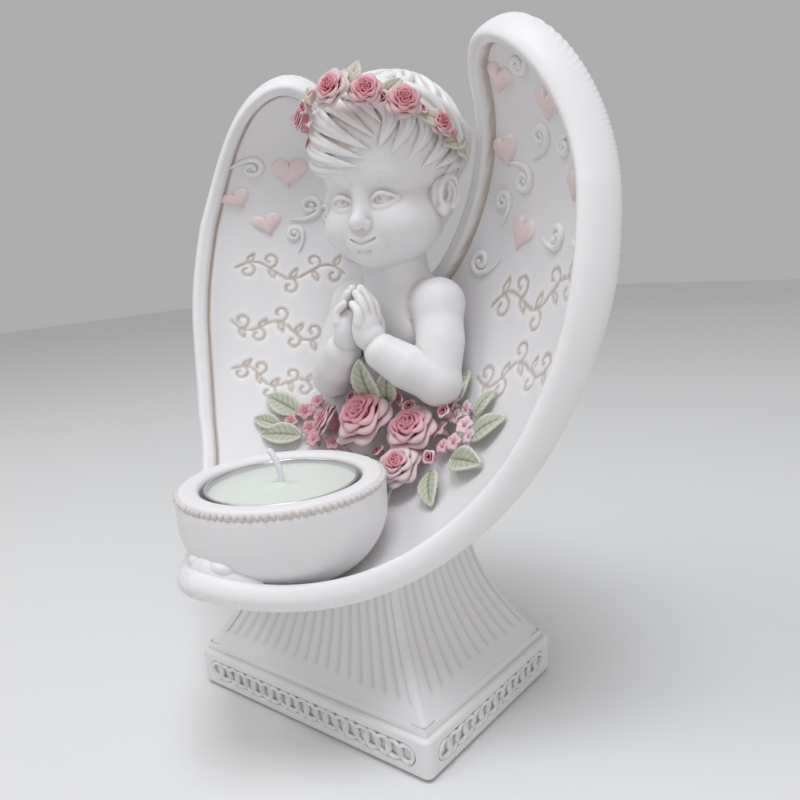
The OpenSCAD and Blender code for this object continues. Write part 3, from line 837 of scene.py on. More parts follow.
# Scrolls: [x, w, turn, radius of the curl, hand]
SCROLLS = {
    1: [(49, 164, 30, 3.4, 1), (39.5, 152, 160, 3.6, -1), (30.5, 147, 60, 2.8, 1), (56, 134, -30, 3.4, 1),
        (69.5, 131, 100, 3.0, -1), (22, 131, 20, 3.4, -1), (45, 185, 70, 2.6, -1), (60, 160, 200, 2.6, 1)],
    -1: [(-57, 170, 190, 3.8, -1), (-40.5, 152, 10, 3.6, 1), (-34, 148, 185, 3.2, -1),
         (-46, 142, 80, 2.6, 1),
         (-27, 138, -20, 3.2, -1)],
}


def heart_mesh(x, w, turn, width):
    t = np.linspace(0, TAU, 72, endpoint=False)
    outline = np.stack([16 * np.sin(t) ** 3,
                        13 * np.cos(t) - 5 * np.cos(2 * t) - 2 * np.cos(3 * t) - np.cos(4 * t)], -1)
    outline = (outline + [0, 2.0]) / 32 * width
    c, s = math.cos(math.radians(turn)), math.sin(math.radians(turn))
    outline = outline @ np.array([[c, s], [-s, c]])
    k = np.sin(np.linspace(0, 1, 16)[1:] * math.pi / 2)
    height = 1.35 * np.sqrt(1 - k**2.4) + 0.05
    rings = []
    for share, h in list(zip(k, height)) + [(1.03, -0.2), (1.0, -0.8)]:
        rings.append(np.concatenate([outline * share, np.full((len(t), 1), h)], 1))
    rings = np.array(rings)[::-1]
    points, faces = capped(rings)
    points[-1, 2] = 1.4
    return sheet(x + points[:, 0], w + points[:, 1], points[:, 2]), faces


def make_hearts(side, name):
    parts = [heart_mesh(*row) for row in HEARTS[side]]
    piece = mesh_piece(name + "_relief", *joined(parts))
    weld(piece)
    add_wash(piece, 1.5, 4)
    stand_for(piece, name, pearl)


def scroll_mesh(x, w, turn, r, hand):
    """A vine scroll: a tail that sweeps into a curl and ends in a small ball."""
    t = np.linspace(0, 1, 60)
    angle = -math.radians(70) + t * math.radians(440)
    radius = r * (1.0 - 0.8 * t) ** 0.9
    curl = np.stack([radius * np.cos(angle), radius * np.sin(angle)], -1)
    tail_t = np.linspace(0, 1, 24)
    start, heading = curl[0], angle[0] - math.pi / 2
    step = np.array([math.cos(heading), math.sin(heading)])
    side = np.array([-step[1], step[0]])
    tail = start + step * (2.3 * r * tail_t[:, None]) - side * (0.9 * r * tail_t[:, None] ** 2)
    path = np.concatenate([tail[::-1], curl[1:]])
    c, s = math.cos(math.radians(turn)), math.sin(math.radians(turn))
    path = (path * [hand, 1]) @ np.array([[c, s], [-s, c]]) + [x, w]
    grow = np.linspace(0, 1, len(path))
    radii = 0.28 + 0.82 * np.sin(math.pi * np.clip(grow * 1.15, 0, 0.75)) * (1 - 0.25 * grow)
    tube_points, tube_faces = sheet_tube(path, radii, 0.22, 10)
    ball, ball_faces = lathe([[0, -0.9], [0.7, -0.6], [1.0, 0], [0.7, 0.7], [0, 0.95]], (0, 0, 0), 12)
    ball = on_sheet(ball, path[-1, 0], path[-1, 1], 0.3)
    return joined([(tube_points, tube_faces), (ball, ball_faces)])


def make_scrolls(side, name):
    parts = [scroll_mesh(*row) for row in SCROLLS[side]]
    piece = mesh_piece(name + "_relief", *joined(parts))
    add_wash(piece, 1.0, 3, 0.12)
    stand_for(piece, name, resin)


# ======== Clay: a field of smooth-blended shapes, turned into a mesh ========


def soft_min(a, b, k):
    h = np.clip(0.5 + 0.5 * (b - a) / k, 0, 1)
    return b + (a - b) * h - k * h * (1 - h)


class Clay:
    """Signed distances on a grid. Shapes are added or cut with a soft blend of size k (millimetres)."""

    def __init__(self, low, high, step):
        self.low, self.step = np.array(low, float), step
        self.shape = np.ceil((np.array(high, float) - self.low) / step).astype(int) + 1
        self.field = np.full(self.shape, 6.0, np.float32)
        self.axes = [(self.low[i] + step * np.arange(self.shape[i])).astype(np.float32) for i in range(3)]

    def window(self, low, high):
        first = np.clip(np.floor((np.array(low) - self.low) / self.step).astype(int), 0, self.shape)
        last = np.clip(np.ceil((np.array(high) - self.low) / self.step).astype(int) + 1, 0, self.shape)
        part = tuple(slice(a, b) for a, b in zip(first, last))
        return part, np.meshgrid(*(axis[s] for axis, s in zip(self.axes, part)), indexing="ij", sparse=True)

    def blend(self, part, distance, k, cut):
        old = self.field[part]
        self.field[part] = -soft_min(-old, distance, k) if cut else soft_min(old, distance, k)

    def egg(self, at, radii, k=1.0, cut=False, tilt=(0, 0, 0)):
        """An ellipsoid, turned by tilt degrees about X, Y and Z."""
        at, radii = np.array(at, float), np.array(radii, float)
        reach = radii.max() + k + 1.5 if any(tilt) else radii + k + 1.5
        part, (x, y, z) = self.window(at - reach, at + reach)
        x, y, z = x - at[0], y - at[1], z - at[2]
        if any(tilt):
            turn = np.array(Euler([math.radians(v) for v in tilt]).to_matrix())
            x, y, z = (turn[0, i] * x + turn[1, i] * y + turn[2, i] * z for i in range(3))
        k0 = np.sqrt((x / radii[0]) ** 2 + (y / radii[1]) ** 2 + (z / radii[2]) ** 2)
        k1 = np.sqrt((x / radii[0] ** 2) ** 2 + (y / radii[1] ** 2) ** 2 + (z / radii[2] ** 2) ** 2)
        self.blend(part, k0 * (k0 - 1) / np.maximum(k1, 1e-6), k, cut)

    def eggs(self, at, radii, k, cut=False):
        """Two equal ellipsoids, at -X and at +X."""
        for side in (-1, 1):
            self.egg([side * at[0], at[1], at[2]], radii, k, cut)

    def strand(self, path, radii, k=0.6, cut=False):
        """A tapered cord through the path's points; radii is one number or one for each point."""
        path = np.asarray(path, float)
        radii = np.broadcast_to(np.asarray(radii, float), (len(path),))
        reach = radii.max() + k + 1.2
        part, _ = self.window(path.min(0) - reach, path.max(0) + reach)
        best = np.full(self.field[part].shape, 9.0, np.float32)
        for a, b, ra, rb in zip(path[:-1], path[1:], radii[:-1], radii[1:]):
            box_low, box_high = np.minimum(a, b) - reach, np.maximum(a, b) + reach
            inner, (x, y, z) = self.window(box_low, box_high)
            local = tuple(slice(i.start - p.start, i.stop - p.start) for i, p in zip(inner, part))
            if any(i.stop <= i.start for i in inner):
                continue
            d = b - a
            along = (x - a[0]) * d[0] + (y - a[1]) * d[1] + (z - a[2]) * d[2]
            t = np.clip(along / max(d @ d, 1e-9), 0, 1)
            gap = np.sqrt((x - a[0] - t * d[0]) ** 2 + (y - a[1] - t * d[1]) ** 2
                          + (z - a[2] - t * d[2]) ** 2)
            best[local] = np.minimum(best[local], gap - (ra + (rb - ra) * t))
        self.blend(part, best, k, cut)

    def trim_behind_sheet(self, depth):
        """Cuts away what lies deeper than depth behind the shell's sheet."""
        w = np.linspace(45, 150, 160)
        lines = [sheet(x, w, -depth) for x in self.axes[0]]
        limit = np.stack([np.interp(self.axes[2], line[:, 2], line[:, 1]) for line in lines])
        self.field = np.maximum(self.field, self.axes[1][None, :, None] - limit[:, None, :])

    def sample(self, points):
        """The field and its slope at points, by linear interpolation."""
        place = (points - self.low) / self.step
        cell = np.clip(np.floor(place).astype(int), 0, self.shape - 2)
        f = place - cell
        value = np.zeros(len(points))
        slope = np.zeros((len(points), 3))
        for corner in np.ndindex(2, 2, 2):
            c = np.array(corner)
            v = self.field[tuple((cell + c).T)]
            share = np.where(c, f, 1 - f)
            value += v * share.prod(1)
            for i in range(3):
                others = [j for j in range(3) if j != i]
                slope[:, i] += v * (1 if c[i] else -1) * share[:, others].prod(1)
        return value, slope / self.step

    def mesh(self, rounds=2):
        """Points and quads of the surface (naive surface nets), smoothed and put back on the surface."""
        self.field[[0, -1]] = self.field[:, [0, -1]] = self.field[:, :, [0, -1]] = 5.0
        inside = self.field < 0
        full = tuple(slice(0, n - 1) for n in self.shape)
        shift = lambda grid, c: grid[tuple(slice(s.start + o, s.stop + o) for s, o in zip(full, c))]
        corners = list(np.ndindex(2, 2, 2))
        total = sum(shift(inside, c).astype(np.int8) for c in corners)
        active = (total > 0) & (total < 8)
        cells = np.argwhere(active)
        number = np.full(active.shape, -1)
        number[active] = np.arange(len(cells))
        spot, hits = np.zeros((len(cells), 3)), np.zeros(len(cells))
        values = {c: shift(self.field, c)[active] for c in corners}
        for c in corners:
            for axis in range(3):
                if c[axis]:
                    continue
                d = tuple(1 if i == axis else v for i, v in enumerate(c))
                a, b = values[c], values[d]
                cross = (a < 0) != (b < 0)
                t = np.where(cross, a / np.where(cross, a - b, 1), 0)
                step = np.array(d, float) - c
                spot += np.where(cross[:, None], np.array(c, float) + t[:, None] * step, 0)
                hits += cross
        points = self.low + self.step * (cells + spot / hits[:, None])
        quads = []
        for axis in range(3):
            b, c = (axis + 1) % 3, (axis + 2) % 3
            near = [slice(1, n - 1) for n in self.shape]
            far = list(near)
            near[axis], far[axis] = slice(0, self.shape[axis] - 1), slice(1, self.shape[axis])
            first = inside[tuple(near)]
            change = np.argwhere(first != inside[tuple(far)]) + [0 if i == axis else 1 for i in range(3)]
            eb, ec = np.eye(3, dtype=int)[b], np.eye(3, dtype=int)[c]
            ring = [number[tuple((change - o).T)] for o in (0 * eb, eb, eb + ec, ec)]
            quad = np.stack(ring, -1)
            solid = inside[tuple(change.T)]
            quads.append(np.where(solid[:, None], quad, quad[:, ::-1]))
        quads = np.concatenate(quads)
        ends = np.concatenate([quads[:, [0, 1]], quads[:, [1, 2]], quads[:, [2, 3]], quads[:, [3, 0]]])
        count = np.bincount(ends.ravel(), minlength=len(points)).astype(float)
        for _ in range(rounds):
            points = 0.4 * points + 0.6 * neighbour_mean(points, ends, count)
            for _ in range(2):
                value, slope = self.sample(points)
                size = np.maximum((slope**2).sum(1), 0.2)
                points = points - np.clip(value / size, -0.3, 0.3)[:, None] * slope
        return points, quads


def curve_through(points, count=14):
    """A smooth curve through a few points (Catmull-Rom)."""
    p = np.asarray(points, float)
    p = np.concatenate([[2 * p[0] - p[1]], p, [2 * p[-1] - p[-2]]])
    out = []
    spans = len(p) - 3
    for t in np.linspace(0, spans, count):
        i = min(int(t), spans - 1)
        f = t - i
        a, b, c, d = p[i : i + 4]
        out.append(0.5 * (2 * b + (c - a) * f + (2 * a - 5 * b + 4 * c - d) * f**2
                          + (3 * b - a - 3 * c + d) * f**3))
    return np.array(out)


def both_sides(draw):
    for side in (-1, 1):
        draw(side)


# ======== The child: body, arms and hands ========

BUST_Y = sheet(0.0, 118.0)[1] - 10.5
SHOULDER = np.array([15.2, BUST_Y - 1.5, 106.0])
ELBOW = np.array([19.0, BUST_Y - 9.5, 86.5])
WRIST = np.array([5.4, BUST_Y - 18.0, 96.0])


def mirrored(point, side):
    return np.array(point, float) * [side, 1, 1]


def make_bust():
    clay = Clay([-30, BUST_Y - 28, 64], [30, BUST_Y + 18, 124], 0.36)
    y = BUST_Y
    clay.egg([0, y + 4, 97], [15.5, 10, 15], 0.1)
    clay.egg([0, y + 2, 86], [14, 10.5, 12], 5)
    clay.egg([0, y + 1, 77], [13, 9, 9], 5)
    clay.eggs([7.0, y - 3.0, 99.5], [7, 4.2, 6.0], 4)
    both_sides(lambda s: clay.egg([s * 9.5, y + 2, 108], [10.5, 6.5, 4.6], 4, tilt=(0, s * 12, 0)))
    clay.strand([[0, y - 0.5, 124], [0, y + 1, 108]], [8.6, 9.6], 5)

    def arm(s):
        upper = (SHOULDER, SHOULDER * 0.5 + ELBOW * 0.5 + [0.9, 0, 0], ELBOW)
        clay.strand([mirrored(p, s) for p in upper], [6.6, 6.7, 6.2], 1.8)
        clay.egg(mirrored(SHOULDER + [0, 0, 0.4], s), [7.0, 7.2, 6.8], 2.2)
        middle = ELBOW * 0.5 + WRIST * 0.5 + [0.4, -0.5, -0.6]
        clay.strand([mirrored(p, s) for p in (ELBOW, middle, WRIST + [1.9, 0.8, -1.2])], [6.3, 6.1, 5.1],
                    0.7)
        clay.egg(mirrored(ELBOW + [0.2, 0.4, -1.4], s), [6.3, 6.4, 5.8], 1.3)

    both_sides(arm)

    def hand(s):
        at = lambda x, dy, z: [s * x, y - 18.6 + dy, z]
        clay.egg(at(3.2, 0.2, 101.2), [3.1, 4.9, 5.6], 1.0)
        clay.egg(at(4.0, 0.6, 99.2), [3.5, 4.6, 3.8], 0.5)
        tips = [(-3.2, 109.4, 1.12), (-1.1, 112.2, 1.25), (1.15, 113.3, 1.3), (3.3, 111.6, 1.25)]
        for dy, top, r in tips:
            knuckle = at(3.7, dy * 1.12, 103.4)
            joint = at(3.5, dy * 1.05, (104 + top) / 2)
            path = [knuckle, at(3.9, dy * 1.1, 105.2), joint, at(1.5, dy * 0.88, top - r)]
            clay.strand(curve_through(path, 10), np.linspace(r + 0.36, r - 0.12, 10), 0.4)
        thumb = [at(3.8, 4.0, 98.6), at(3.4, 5.4, 102), at(2.0, 5.4, 106)]
        clay.strand(curve_through(thumb, 8), np.linspace(1.9, 1.2, 8), 0.8)

    both_sides(hand)
    clay.egg([0, y - 18.6, 107], [0.42, 7, 9], 0.25, cut=True)

    def pit(s):
        line = [mirrored(SHOULDER + v, s)
                for v in ([-5.9, -5.2, -4.0], [-5.0, -6.0, -7.0], [-4.2, -6.4, -10.0])]
        clay.strand(curve_through(line), 0.25, 0.9, cut=True)

    both_sides(pit)
    clay.trim_behind_sheet(1.2)
    piece = mesh_piece("child_body", *clay.mesh())
    add_wash(piece, 1.1, 7)
    stand_for(piece, ["torso", "left_arm", "right_arm"], resin)


# ======== The child: head ========

HEAD_TURN = math.radians(8)
HEAD_AT = np.array([0, BUST_Y + 0.2, 134.8])
# The face is modelled at a larger size, about the eyes' level, and brought to its real size here
FACE_SCALE = np.array([0.8, 0.8, 0.77])


def turned(points):
    """Head coordinates, in real millimetres from the neck's axis at eye level, to the frame's."""
    c, s = math.cos(HEAD_TURN), math.sin(HEAD_TURN)
    p = np.asarray(points, float)
    return np.stack([c * p[..., 0] - s * p[..., 1], s * p[..., 0] + c * p[..., 1], p[..., 2]], -1) + HEAD_AT


def make_head():
    clay = Clay([-28, -31, -38], [28, 30, 46], 0.4)
    clay.egg([0, 2.6, 18.4], [24.2, 24.6, 23.6], 0.1)
    clay.egg([0, -9, 14], [19.5, 14.4, 15], 7)
    clay.egg([0, -6, -6], [18.6, 14.2, 14.0], 7)
    clay.eggs([10.2, -13.0, -8.6], [8.0, 7.8, 7.6], 4.5)
    clay.eggs([13.0, -6, -9], [7.0, 9.0, 9.0], 5)
    clay.egg([0, -14.2, -18.6], [5.2, 4.8, 4.2], 4)
    clay.egg([0, -7, -16], [13.0, 11, 7], 5)
    clay.egg([0, 6, -6], [16, 15, 14], 5)

    # Eyes: a soft hollow, the ball, then the lids
    clay.eggs([8.2, -22.0, 1.0], [4.6, 2.2, 2.8], 3.4, cut=True)
    clay.eggs([7.8, -15.4, 0.0], [4.2, 4.6, 3.9], 0.4)

    def lids(s):
        rim = lambda x, y, z: [s * x, y, z]
        upper = [rim(3.6, -18.3, -0.8), rim(5.2, -20.0, 1.0), rim(7.9, -20.6, 2.0), rim(10.6, -19.4, 1.4),
                 rim(12.9, -16.9, 0.2)]
        lower = [rim(3.8, -18.4, -1.1), rim(5.7, -19.5, -2.1), rim(8.2, -19.6, -2.4),
                 rim(10.7, -18.4, -1.5), rim(12.6, -16.9, -0.1)]
        clay.strand(curve_through(upper, 18), 0.3 + 0.4 * np.sin(np.linspace(0.2, 2.9, 18)), 0.7)
        clay.strand(curve_through(lower, 18), 0.3 + 0.3 * np.sin(np.linspace(0.2, 2.9, 18)), 1.1)
        crease = [rim(5.6, -20.5, 3.5), rim(8.2, -21.1, 4.2), rim(12.0, -18.4, 2.7)]
        clay.strand(curve_through(crease), 0.22, 1.2, cut=True)
        clay.egg(rim(7.2, -20.0, 0.2), [0.9, 0.6, 1.0], 0.5, cut=True)
        iris = [rim(7.2 + 2.0 * math.cos(a), -19.75, 0.2 + 2.0 * math.sin(a))
                for a in np.linspace(0, TAU, 17)]
        clay.strand(iris, 0.16, 0.3, cut=True)
        clay.strand([rim(12.4, -17.3, 0.2), rim(14.2, -15.8, 0.3)], [0.2, 0.05], 0.6, cut=True)
        brow = [rim(4.4, -20.4, 7.0), rim(8.2, -20.9, 9.4), rim(13.0, -18.4, 8.2)]
        clay.strand(curve_through(brow), 0.1 + 0.5 * np.sin(np.linspace(0.2, 2.9, 14)), 3.6)

    both_sides(lids)

    # Nose: low bridge, round tip, wings, nostrils
    clay.strand(curve_through([[0, -19.4, 3.0], [0, -20.4, -2.6], [0, -23.2, -7.0]]),
                np.linspace(1.3, 2.2, 14), 3.6)
    clay.egg([0, -23.3, -7.0], [2.4, 2.2, 2.1], 1.5)
    clay.eggs([2.2, -21.2, -7.9], [1.45, 1.6, 1.35], 1.1)
    clay.eggs([1.35, -22.4, -9.7], [0.7, 0.9, 0.5], 0.5, cut=True)

    # Mouth: a mound, two lips, the parting line with upturned corners
    clay.egg([0, -17.6, -13.4], [6.4, 3.6, 4.4], 3.0)
    upper = [[-4.9, -19.4, -12.2], [-2.2, -21.0, -12.8], [0, -21.4, -13.1], [2.2, -21.0, -12.8],
             [4.9, -19.4, -12.2]]
    lower = [[-3.8, -19.8, -14.3], [0, -20.9, -15.7], [3.8, -19.8, -14.3]]
    clay.strand(curve_through(upper, 19), 0.35 + 0.4 * np.sin(np.linspace(0, math.pi, 19)), 1.2)
    clay.strand(curve_through(lower, 15), 0.35 + 0.6 * np.sin(np.linspace(0, math.pi, 15)), 1.2)
    parting = [[-6.4, -18.9, -10.8], [-4.2, -20.5, -13.0], [0, -22.1, -14.3], [4.2, -20.5, -13.0],
               [6.4, -18.9, -10.8]]
    clay.strand(curve_through(parting, 21), 0.12 + 0.3 * np.sin(np.linspace(0, math.pi, 21)) ** 0.6, 0.5,
                cut=True)
    clay.strand(curve_through([[-2.4, -20.2, -17.3], [0, -20.9, -17.6], [2.4, -20.2, -17.3]]), -0.35, 2.4,
                cut=True)

    def ear(s):
        spot = lambda x, y, z: [s * x, y, z]
        clay.egg(spot(22.0, -2.6, 0.4), [2.8, 4.8, 6.2], 1.6, tilt=(-12, 0, s * -24))
        clay.egg(spot(24.6, -3.0, 0.9), [2.2, 2.9, 4.0], 0.8, cut=True, tilt=(-12, 0, s * -24))
        rim = []
        for a in np.linspace(-60, 215, 20):
            c, n = math.cos(math.radians(a)), math.sin(math.radians(a))
            rim.append(spot(23.9 + 1.0 * c, -2.2 + 4.2 * c + 1.0 * n, 0.8 + 5.6 * n))
        clay.strand(rim, 1.0, 0.7)
        clay.strand(curve_through([spot(23.3, -1.0, 3.0), spot(23.4, -1.4, -0.2), spot(23.0, -3.4, -2.6)]),
                    0.7, 0.7)
        clay.egg(spot(22.8, -4.6, -4.6), [1.9, 2.4, 2.3], 1.2)
        clay.egg(spot(23.4, -5.2, -0.2), [1.4, 1.3, 1.9], 0.7, cut=True)

    both_sides(ear)
    points, faces = clay.mesh()
    piece = mesh_piece("child_head", turned(points * FACE_SCALE), faces)
    add_wash(piece, 1.15, 7)
    stand_for(piece, "head", resin)


# ======== The child: hair ========

HAIR_AT = np.array([0, 0.6, 14.2])
HAIR_SIZE = np.array([20.4, 20.6, 19.9])
LOCK_STEPS = 20


def on_hair(turn, rise, lift=0.0):
    """A place on the hair: turn in degrees from the face's front towards +X, rise above the cap's middle."""
    a, e = np.radians(np.asarray(turn, float)), np.radians(np.asarray(rise, float))
    out = np.stack([np.sin(a) * np.cos(e), -np.cos(a) * np.cos(e), np.sin(e)], -1)
    return out * (HAIR_SIZE + np.asarray(lift, float)[..., None]) + HAIR_AT


def lock(clay, path, thick, lift):
    """A lock of hair: three cords side by side that taper to one tip. The path is [turn, rise] pairs."""
    line = curve_through(path, LOCK_STEPS)
    t = np.linspace(0, 1, LOCK_STEPS)
    step = np.gradient(line, axis=0)
    step[:, 0] *= np.cos(np.radians(line[:, 1]))
    step /= np.linalg.norm(step, axis=1)[:, None] + 1e-9
    spread = thick * 0.62 * np.sin(np.pi * (0.25 + 0.75 * t)) ** 0.8
    body = (1 - t) ** 0.55 * (0.6 + 0.4 * np.minimum(t * 5, 1))
    for row, share in ((-1, 0.52), (0, 0.6), (1, 0.52)):
        off = np.degrees(row * spread / 20.5)
        a = line[:, 0] - step[:, 1] * off / np.maximum(np.cos(np.radians(line[:, 1])), 0.3)
        e = line[:, 1] + step[:, 0] * off
        up = lift + (0.3 * thick * body if row == 0 else 0 * t) - 0.5 * t**3
        clay.strand(on_hair(a, e, up), np.maximum(thick * share * body, 0.16), 0.25)


def make_hair():
    clay = Clay([-26, -26, -22], [26, 28, 40], 0.36)
    clay.egg(HAIR_AT, HAIR_SIZE - 0.4, 0.1)
    clay.egg([0, 6.5, 1], [16, 13, 12.5], 5)
    clay.egg([0, -21.5, -3.5], [18.0, 15.5, 15.5], 1.0, cut=True)
    clay.egg([0, -8, -13.0], [24, 17, 12.5], 1.2, cut=True)
    clay.eggs([20, -3.5, -1.5], [5.5, 6.0, 7.0], 1.2, cut=True)

    # The cap: wavy cords that leave a whorl at the back of the top
    count = 46
    for i in range(count):
        turn = 360 * (i + 0.5) / count
        front = max(0.0, math.cos(math.radians(turn)))
        side = abs(math.sin(math.radians(turn)))
        end = -52 + 86 * front**0.7 + (26 * side if front > 0 else 30 * side)
        t = np.linspace(0, 1, 18)
        swirl = turn + 60 * (1 - t) ** 1.4 + 5.5 * np.sin(t * 8 + i * 1.9)
        girth = 0.35 + 0.65 * np.sin(np.pi * np.clip(t * 0.8 + 0.05, 0, 1))
        size = (0.95 + 0.25 * ((i * 7) % 3 - 1)) * girth
        spots = on_hair(swirl, 87 + (end - 87) * t, -0.45 + 0.2 * ((i * 5) % 3) + 0 * t)
        spots[:, 1] += 3.0 * (1 - t) ** 2
        clay.strand(spots, size * 1.15, 0.6)

    # The fringe, swept from the far temple over the forehead
    fringe = [
        [[-92, 2], [-66, -5], [-36, -14], [-2, -20]], [[-90, 11], [-62, 5], [-32, -6], [6, -17]],
        [[-86, 19], [-58, 15], [-28, 4], [12, -12]], [[-78, 28], [-50, 27], [-20, 15], [17, -6]],
        [[-64, 37], [-38, 38], [-10, 27], [21, 3]], [[-42, 45], [-18, 46], [6, 36], [26, 13]],
        [[-94, -4], [-88, -16], [-80, -27], [-66, -35]], [[-100, -2], [-98, -18], [-92, -31], [-82, -42]],
    ]
    for i, path in enumerate(fringe):
        lock(clay, path, 2.9 - 0.2 * (i % 3), 0.35 + 0.2 * (i % 2))
    # The near side: a lifted lock over the forehead, then curls round the temple and the ear
    near = [
        [[6, 46], [22, 37], [34, 18], [24, -5]], [[18, 46], [36, 34], [46, 13], [32, -11]],
        [[34, 43], [54, 28], [60, 6], [44, -16]], [[48, 39], [70, 22], [76, -1], [56, -21]],
        [[62, 33], [86, 14], [92, -7], [72, -21]], [[80, 24], [101, 5], [104, -12], [86, -23]],
        [[92, 16], [114, 0], [118, -17], [106, -30]],
    ]
    for i, path in enumerate(near):
        lock(clay, path, 3.1 - 0.25 * (i % 3), 0.4 + 0.25 * (i % 2))
    side_locks = [
        ([[112, 4], [122, -10], [120, -26], [108, -38]], 0.0),
        ([[128, -4], [138, -18], [138, -34], [128, -46]], -0.6),
        ([[146, -10], [156, -24], [158, -40], [150, -52]], -1.2),
    ]
    for path, lift in side_locks:
        for side in (-1, 1):
            lock(clay, np.array(path) * [side, 1], 2.3, lift)
    lock(clay, [[168, -14], [178, -28], [180, -42], [172, -56]], 2.4, -1.6)
    lock(clay, [[-92, 24], [-104, 12], [-108, -2], [-98, -12]], 2.3, 0.2)
    points, faces = clay.mesh(1)
    piece = mesh_piece("child_hair", turned(points), faces)
    add_wash(piece, 1.2, 6)
    stand_for(piece, "hair", resin)


# ======== Flowers ========


def slab(middle, thick):
    """A closed sheet with rounded-off edges: middle is a grid of points, thick its thickness."""
    rows, columns = middle.shape[:2]
    down, across = np.gradient(middle, axis=0), np.gradient(middle, axis=1)
    normal = np.cross(across, down)
    normal /= np.linalg.norm(normal, axis=2)[..., None] + 1e-9
    edge = np.minimum.outer(np.minimum(np.arange(rows), np.arange(rows)[::-1]), np.full(columns, 9))
    edge = np.minimum(edge, np.minimum(np.arange(columns), np.arange(columns)[::-1])[None])
    half = thick / 2 * np.choose(np.minimum(edge, 2), [0.45, 0.85, 1.0])[..., None]
    points = np.concatenate([(middle + normal * half).reshape(-1, 3),
                             (middle - normal * half).reshape(-1, 3)])
    n = rows * columns
    i = np.arange(n).reshape(rows, columns)
    loop = np.concatenate([i[0], i[1:, -1], i[-1, -2::-1], i[-2:0:-1, 0]])
    after = np.roll(loop, -1)
    rim = np.stack([after, loop, loop + n, after + n], -1)
    return points, [grid_faces(rows, columns), grid_faces(rows, columns, flip=True) + n, rim]


PETAL_T = 0.045


def petal(turn, r, z, wide, curl, lean):
    """A petal of a flower one unit wide, from radius r[0] and height z[0] to r[1] and z[1]."""
    u = np.linspace(-1, 1, 13)[None]
    v = np.linspace(0, 1, 10)[:, None] * (1 - 0.16 * u**2 - 0.05 * np.abs(u))
    roll = np.clip((v - 0.7) / 0.3, 0, 1) ** 2
    radius = r[0] + (r[1] - r[0]) * v**1.15 + curl * roll + 0.022 * u + 0.02 * np.cos(u * 5) * v**2
    height = z[0] + (z[1] - z[0]) * np.sin(v * math.pi / 2) ** 0.9 - curl * 0.75 * roll
    height = height + 0.012 * np.sin(u * 4 + turn) * v
    widen = 0.62 + 0.38 * np.sin(np.clip(v * 1.5, 0, 1) * math.pi / 2)
    angle = math.radians(turn) + u * math.radians(wide / 2) * widen
    middle = np.stack([radius * np.cos(angle), radius * np.sin(angle), height + lean * radius], -1)
    points, faces = slab(middle, PETAL_T)
    shade = np.clip(v, 0, 1) + 0 * u
    return points, faces, np.concatenate([shade.ravel(), shade.ravel()])


# Rings of petals: [petals, radii, heights, degrees across, curl, tone at the foot, tone at the rim]
ROSE_RINGS = [
    [2, (0.015, 0.035), (0.10, 0.385), 230, 0.012, 1.0, 0.95],
    [3, (0.06, 0.085), (0.10, 0.40), 160, 0.02, 1.0, 0.8],
    [3, (0.10, 0.145), (0.09, 0.40), 150, 0.03, 1.0, 0.72],
    [4, (0.13, 0.215), (0.08, 0.375), 125, 0.045, 0.95, 0.42],
    [5, (0.15, 0.30), (0.06, 0.33), 108, 0.055, 0.75, 0.16],
    [5, (0.17, 0.385), (0.03, 0.26), 100, 0.06, 0.5, 0.08],
    [6, (0.18, 0.45), (0.0, 0.16), 86, 0.05, 0.3, 0.05],
]
BUD_RINGS = [[3, (0.09, 0.16), (0.0, 0.5), 170, 0.05, 1.0, 0.6],
             [4, (0.16, 0.32), (-0.05, 0.48), 130, 0.1, 0.5, 0.15]]


def flower(size, rings, seed, fade=0.0):
    """Petals in rings, with their tone: 1 is the deepest pink and 0 the palest."""
    parts, tones = [], []
    for number, (count, r, z, wide, curl, foot, rim) in enumerate(rings):
        for i in range(count):
            turn = seed * 77 + number * 47 + 360 * (i + 0.12 * math.sin(i * 3 + seed)) / count
            points, faces, shade = petal(turn, r, z, wide, curl, 0.03 * math.sin(i * 2.1 + seed))
            parts.append((points * size, faces))
            tones.append(foot + (rim - foot) * shade**1.5 - fade)
    base = [[0, -0.16], [0.12, -0.14], [0.2, -0.04], [0.21, 0.06], [0.14, 0.13], [0, 0.15]]
    points, faces = lathe(np.array(base) * size, (0, 0, 0), 20)
    parts.append((points, faces))
    tones.append(np.full(len(points), 0.55 - fade))
    points, faces = joined(parts)
    return points, faces, np.concatenate(tones)


def leaf(length, width, seed):
    """A pointed leaf with a saw-tooth edge, a sunken midrib and side veins: +Y is its tip."""
    v = np.linspace(0, 1, 34)[:, None]
    u = np.linspace(-1, 1, 15)[None]
    teeth = 1 + 0.09 * (1 - (v * 8) % 1)
    half = width / 2 * np.sin(math.pi * v**0.85) ** 0.75 * teeth + 0.12
    vein = np.cos(TAU * (v * 6.5 - np.abs(u) * 1.3))
    midrib = -0.3 * np.exp(-((u / 0.13) ** 2)) * np.sin(math.pi * np.clip(v, 0.02, 0.98))
    rise = midrib - 0.16 * np.clip(vein, 0.35, 1) * np.abs(u) ** 0.5
    cup = 0.16 * width * u**2 * (0.6 + 0.4 * math.sin(seed * 2))
    rise = rise + 0.10 * length * np.sin(math.pi * v) + cup + 0.5
    middle = np.stack([half * u, length * (v - 0.1) + 0 * u, rise], -1)
    points, faces = slab(middle, 0.8)
    grooves = np.exp(-((u / 0.12) ** 2)) * 0.9 + 0.6 * np.clip(vein - 0.3, 0, 1)
    hollow = grooves * np.sin(math.pi * np.clip(v, 0.03, 1)) ** 0.4
    return points, faces, np.concatenate([hollow.ravel(), 0 * hollow.ravel()])


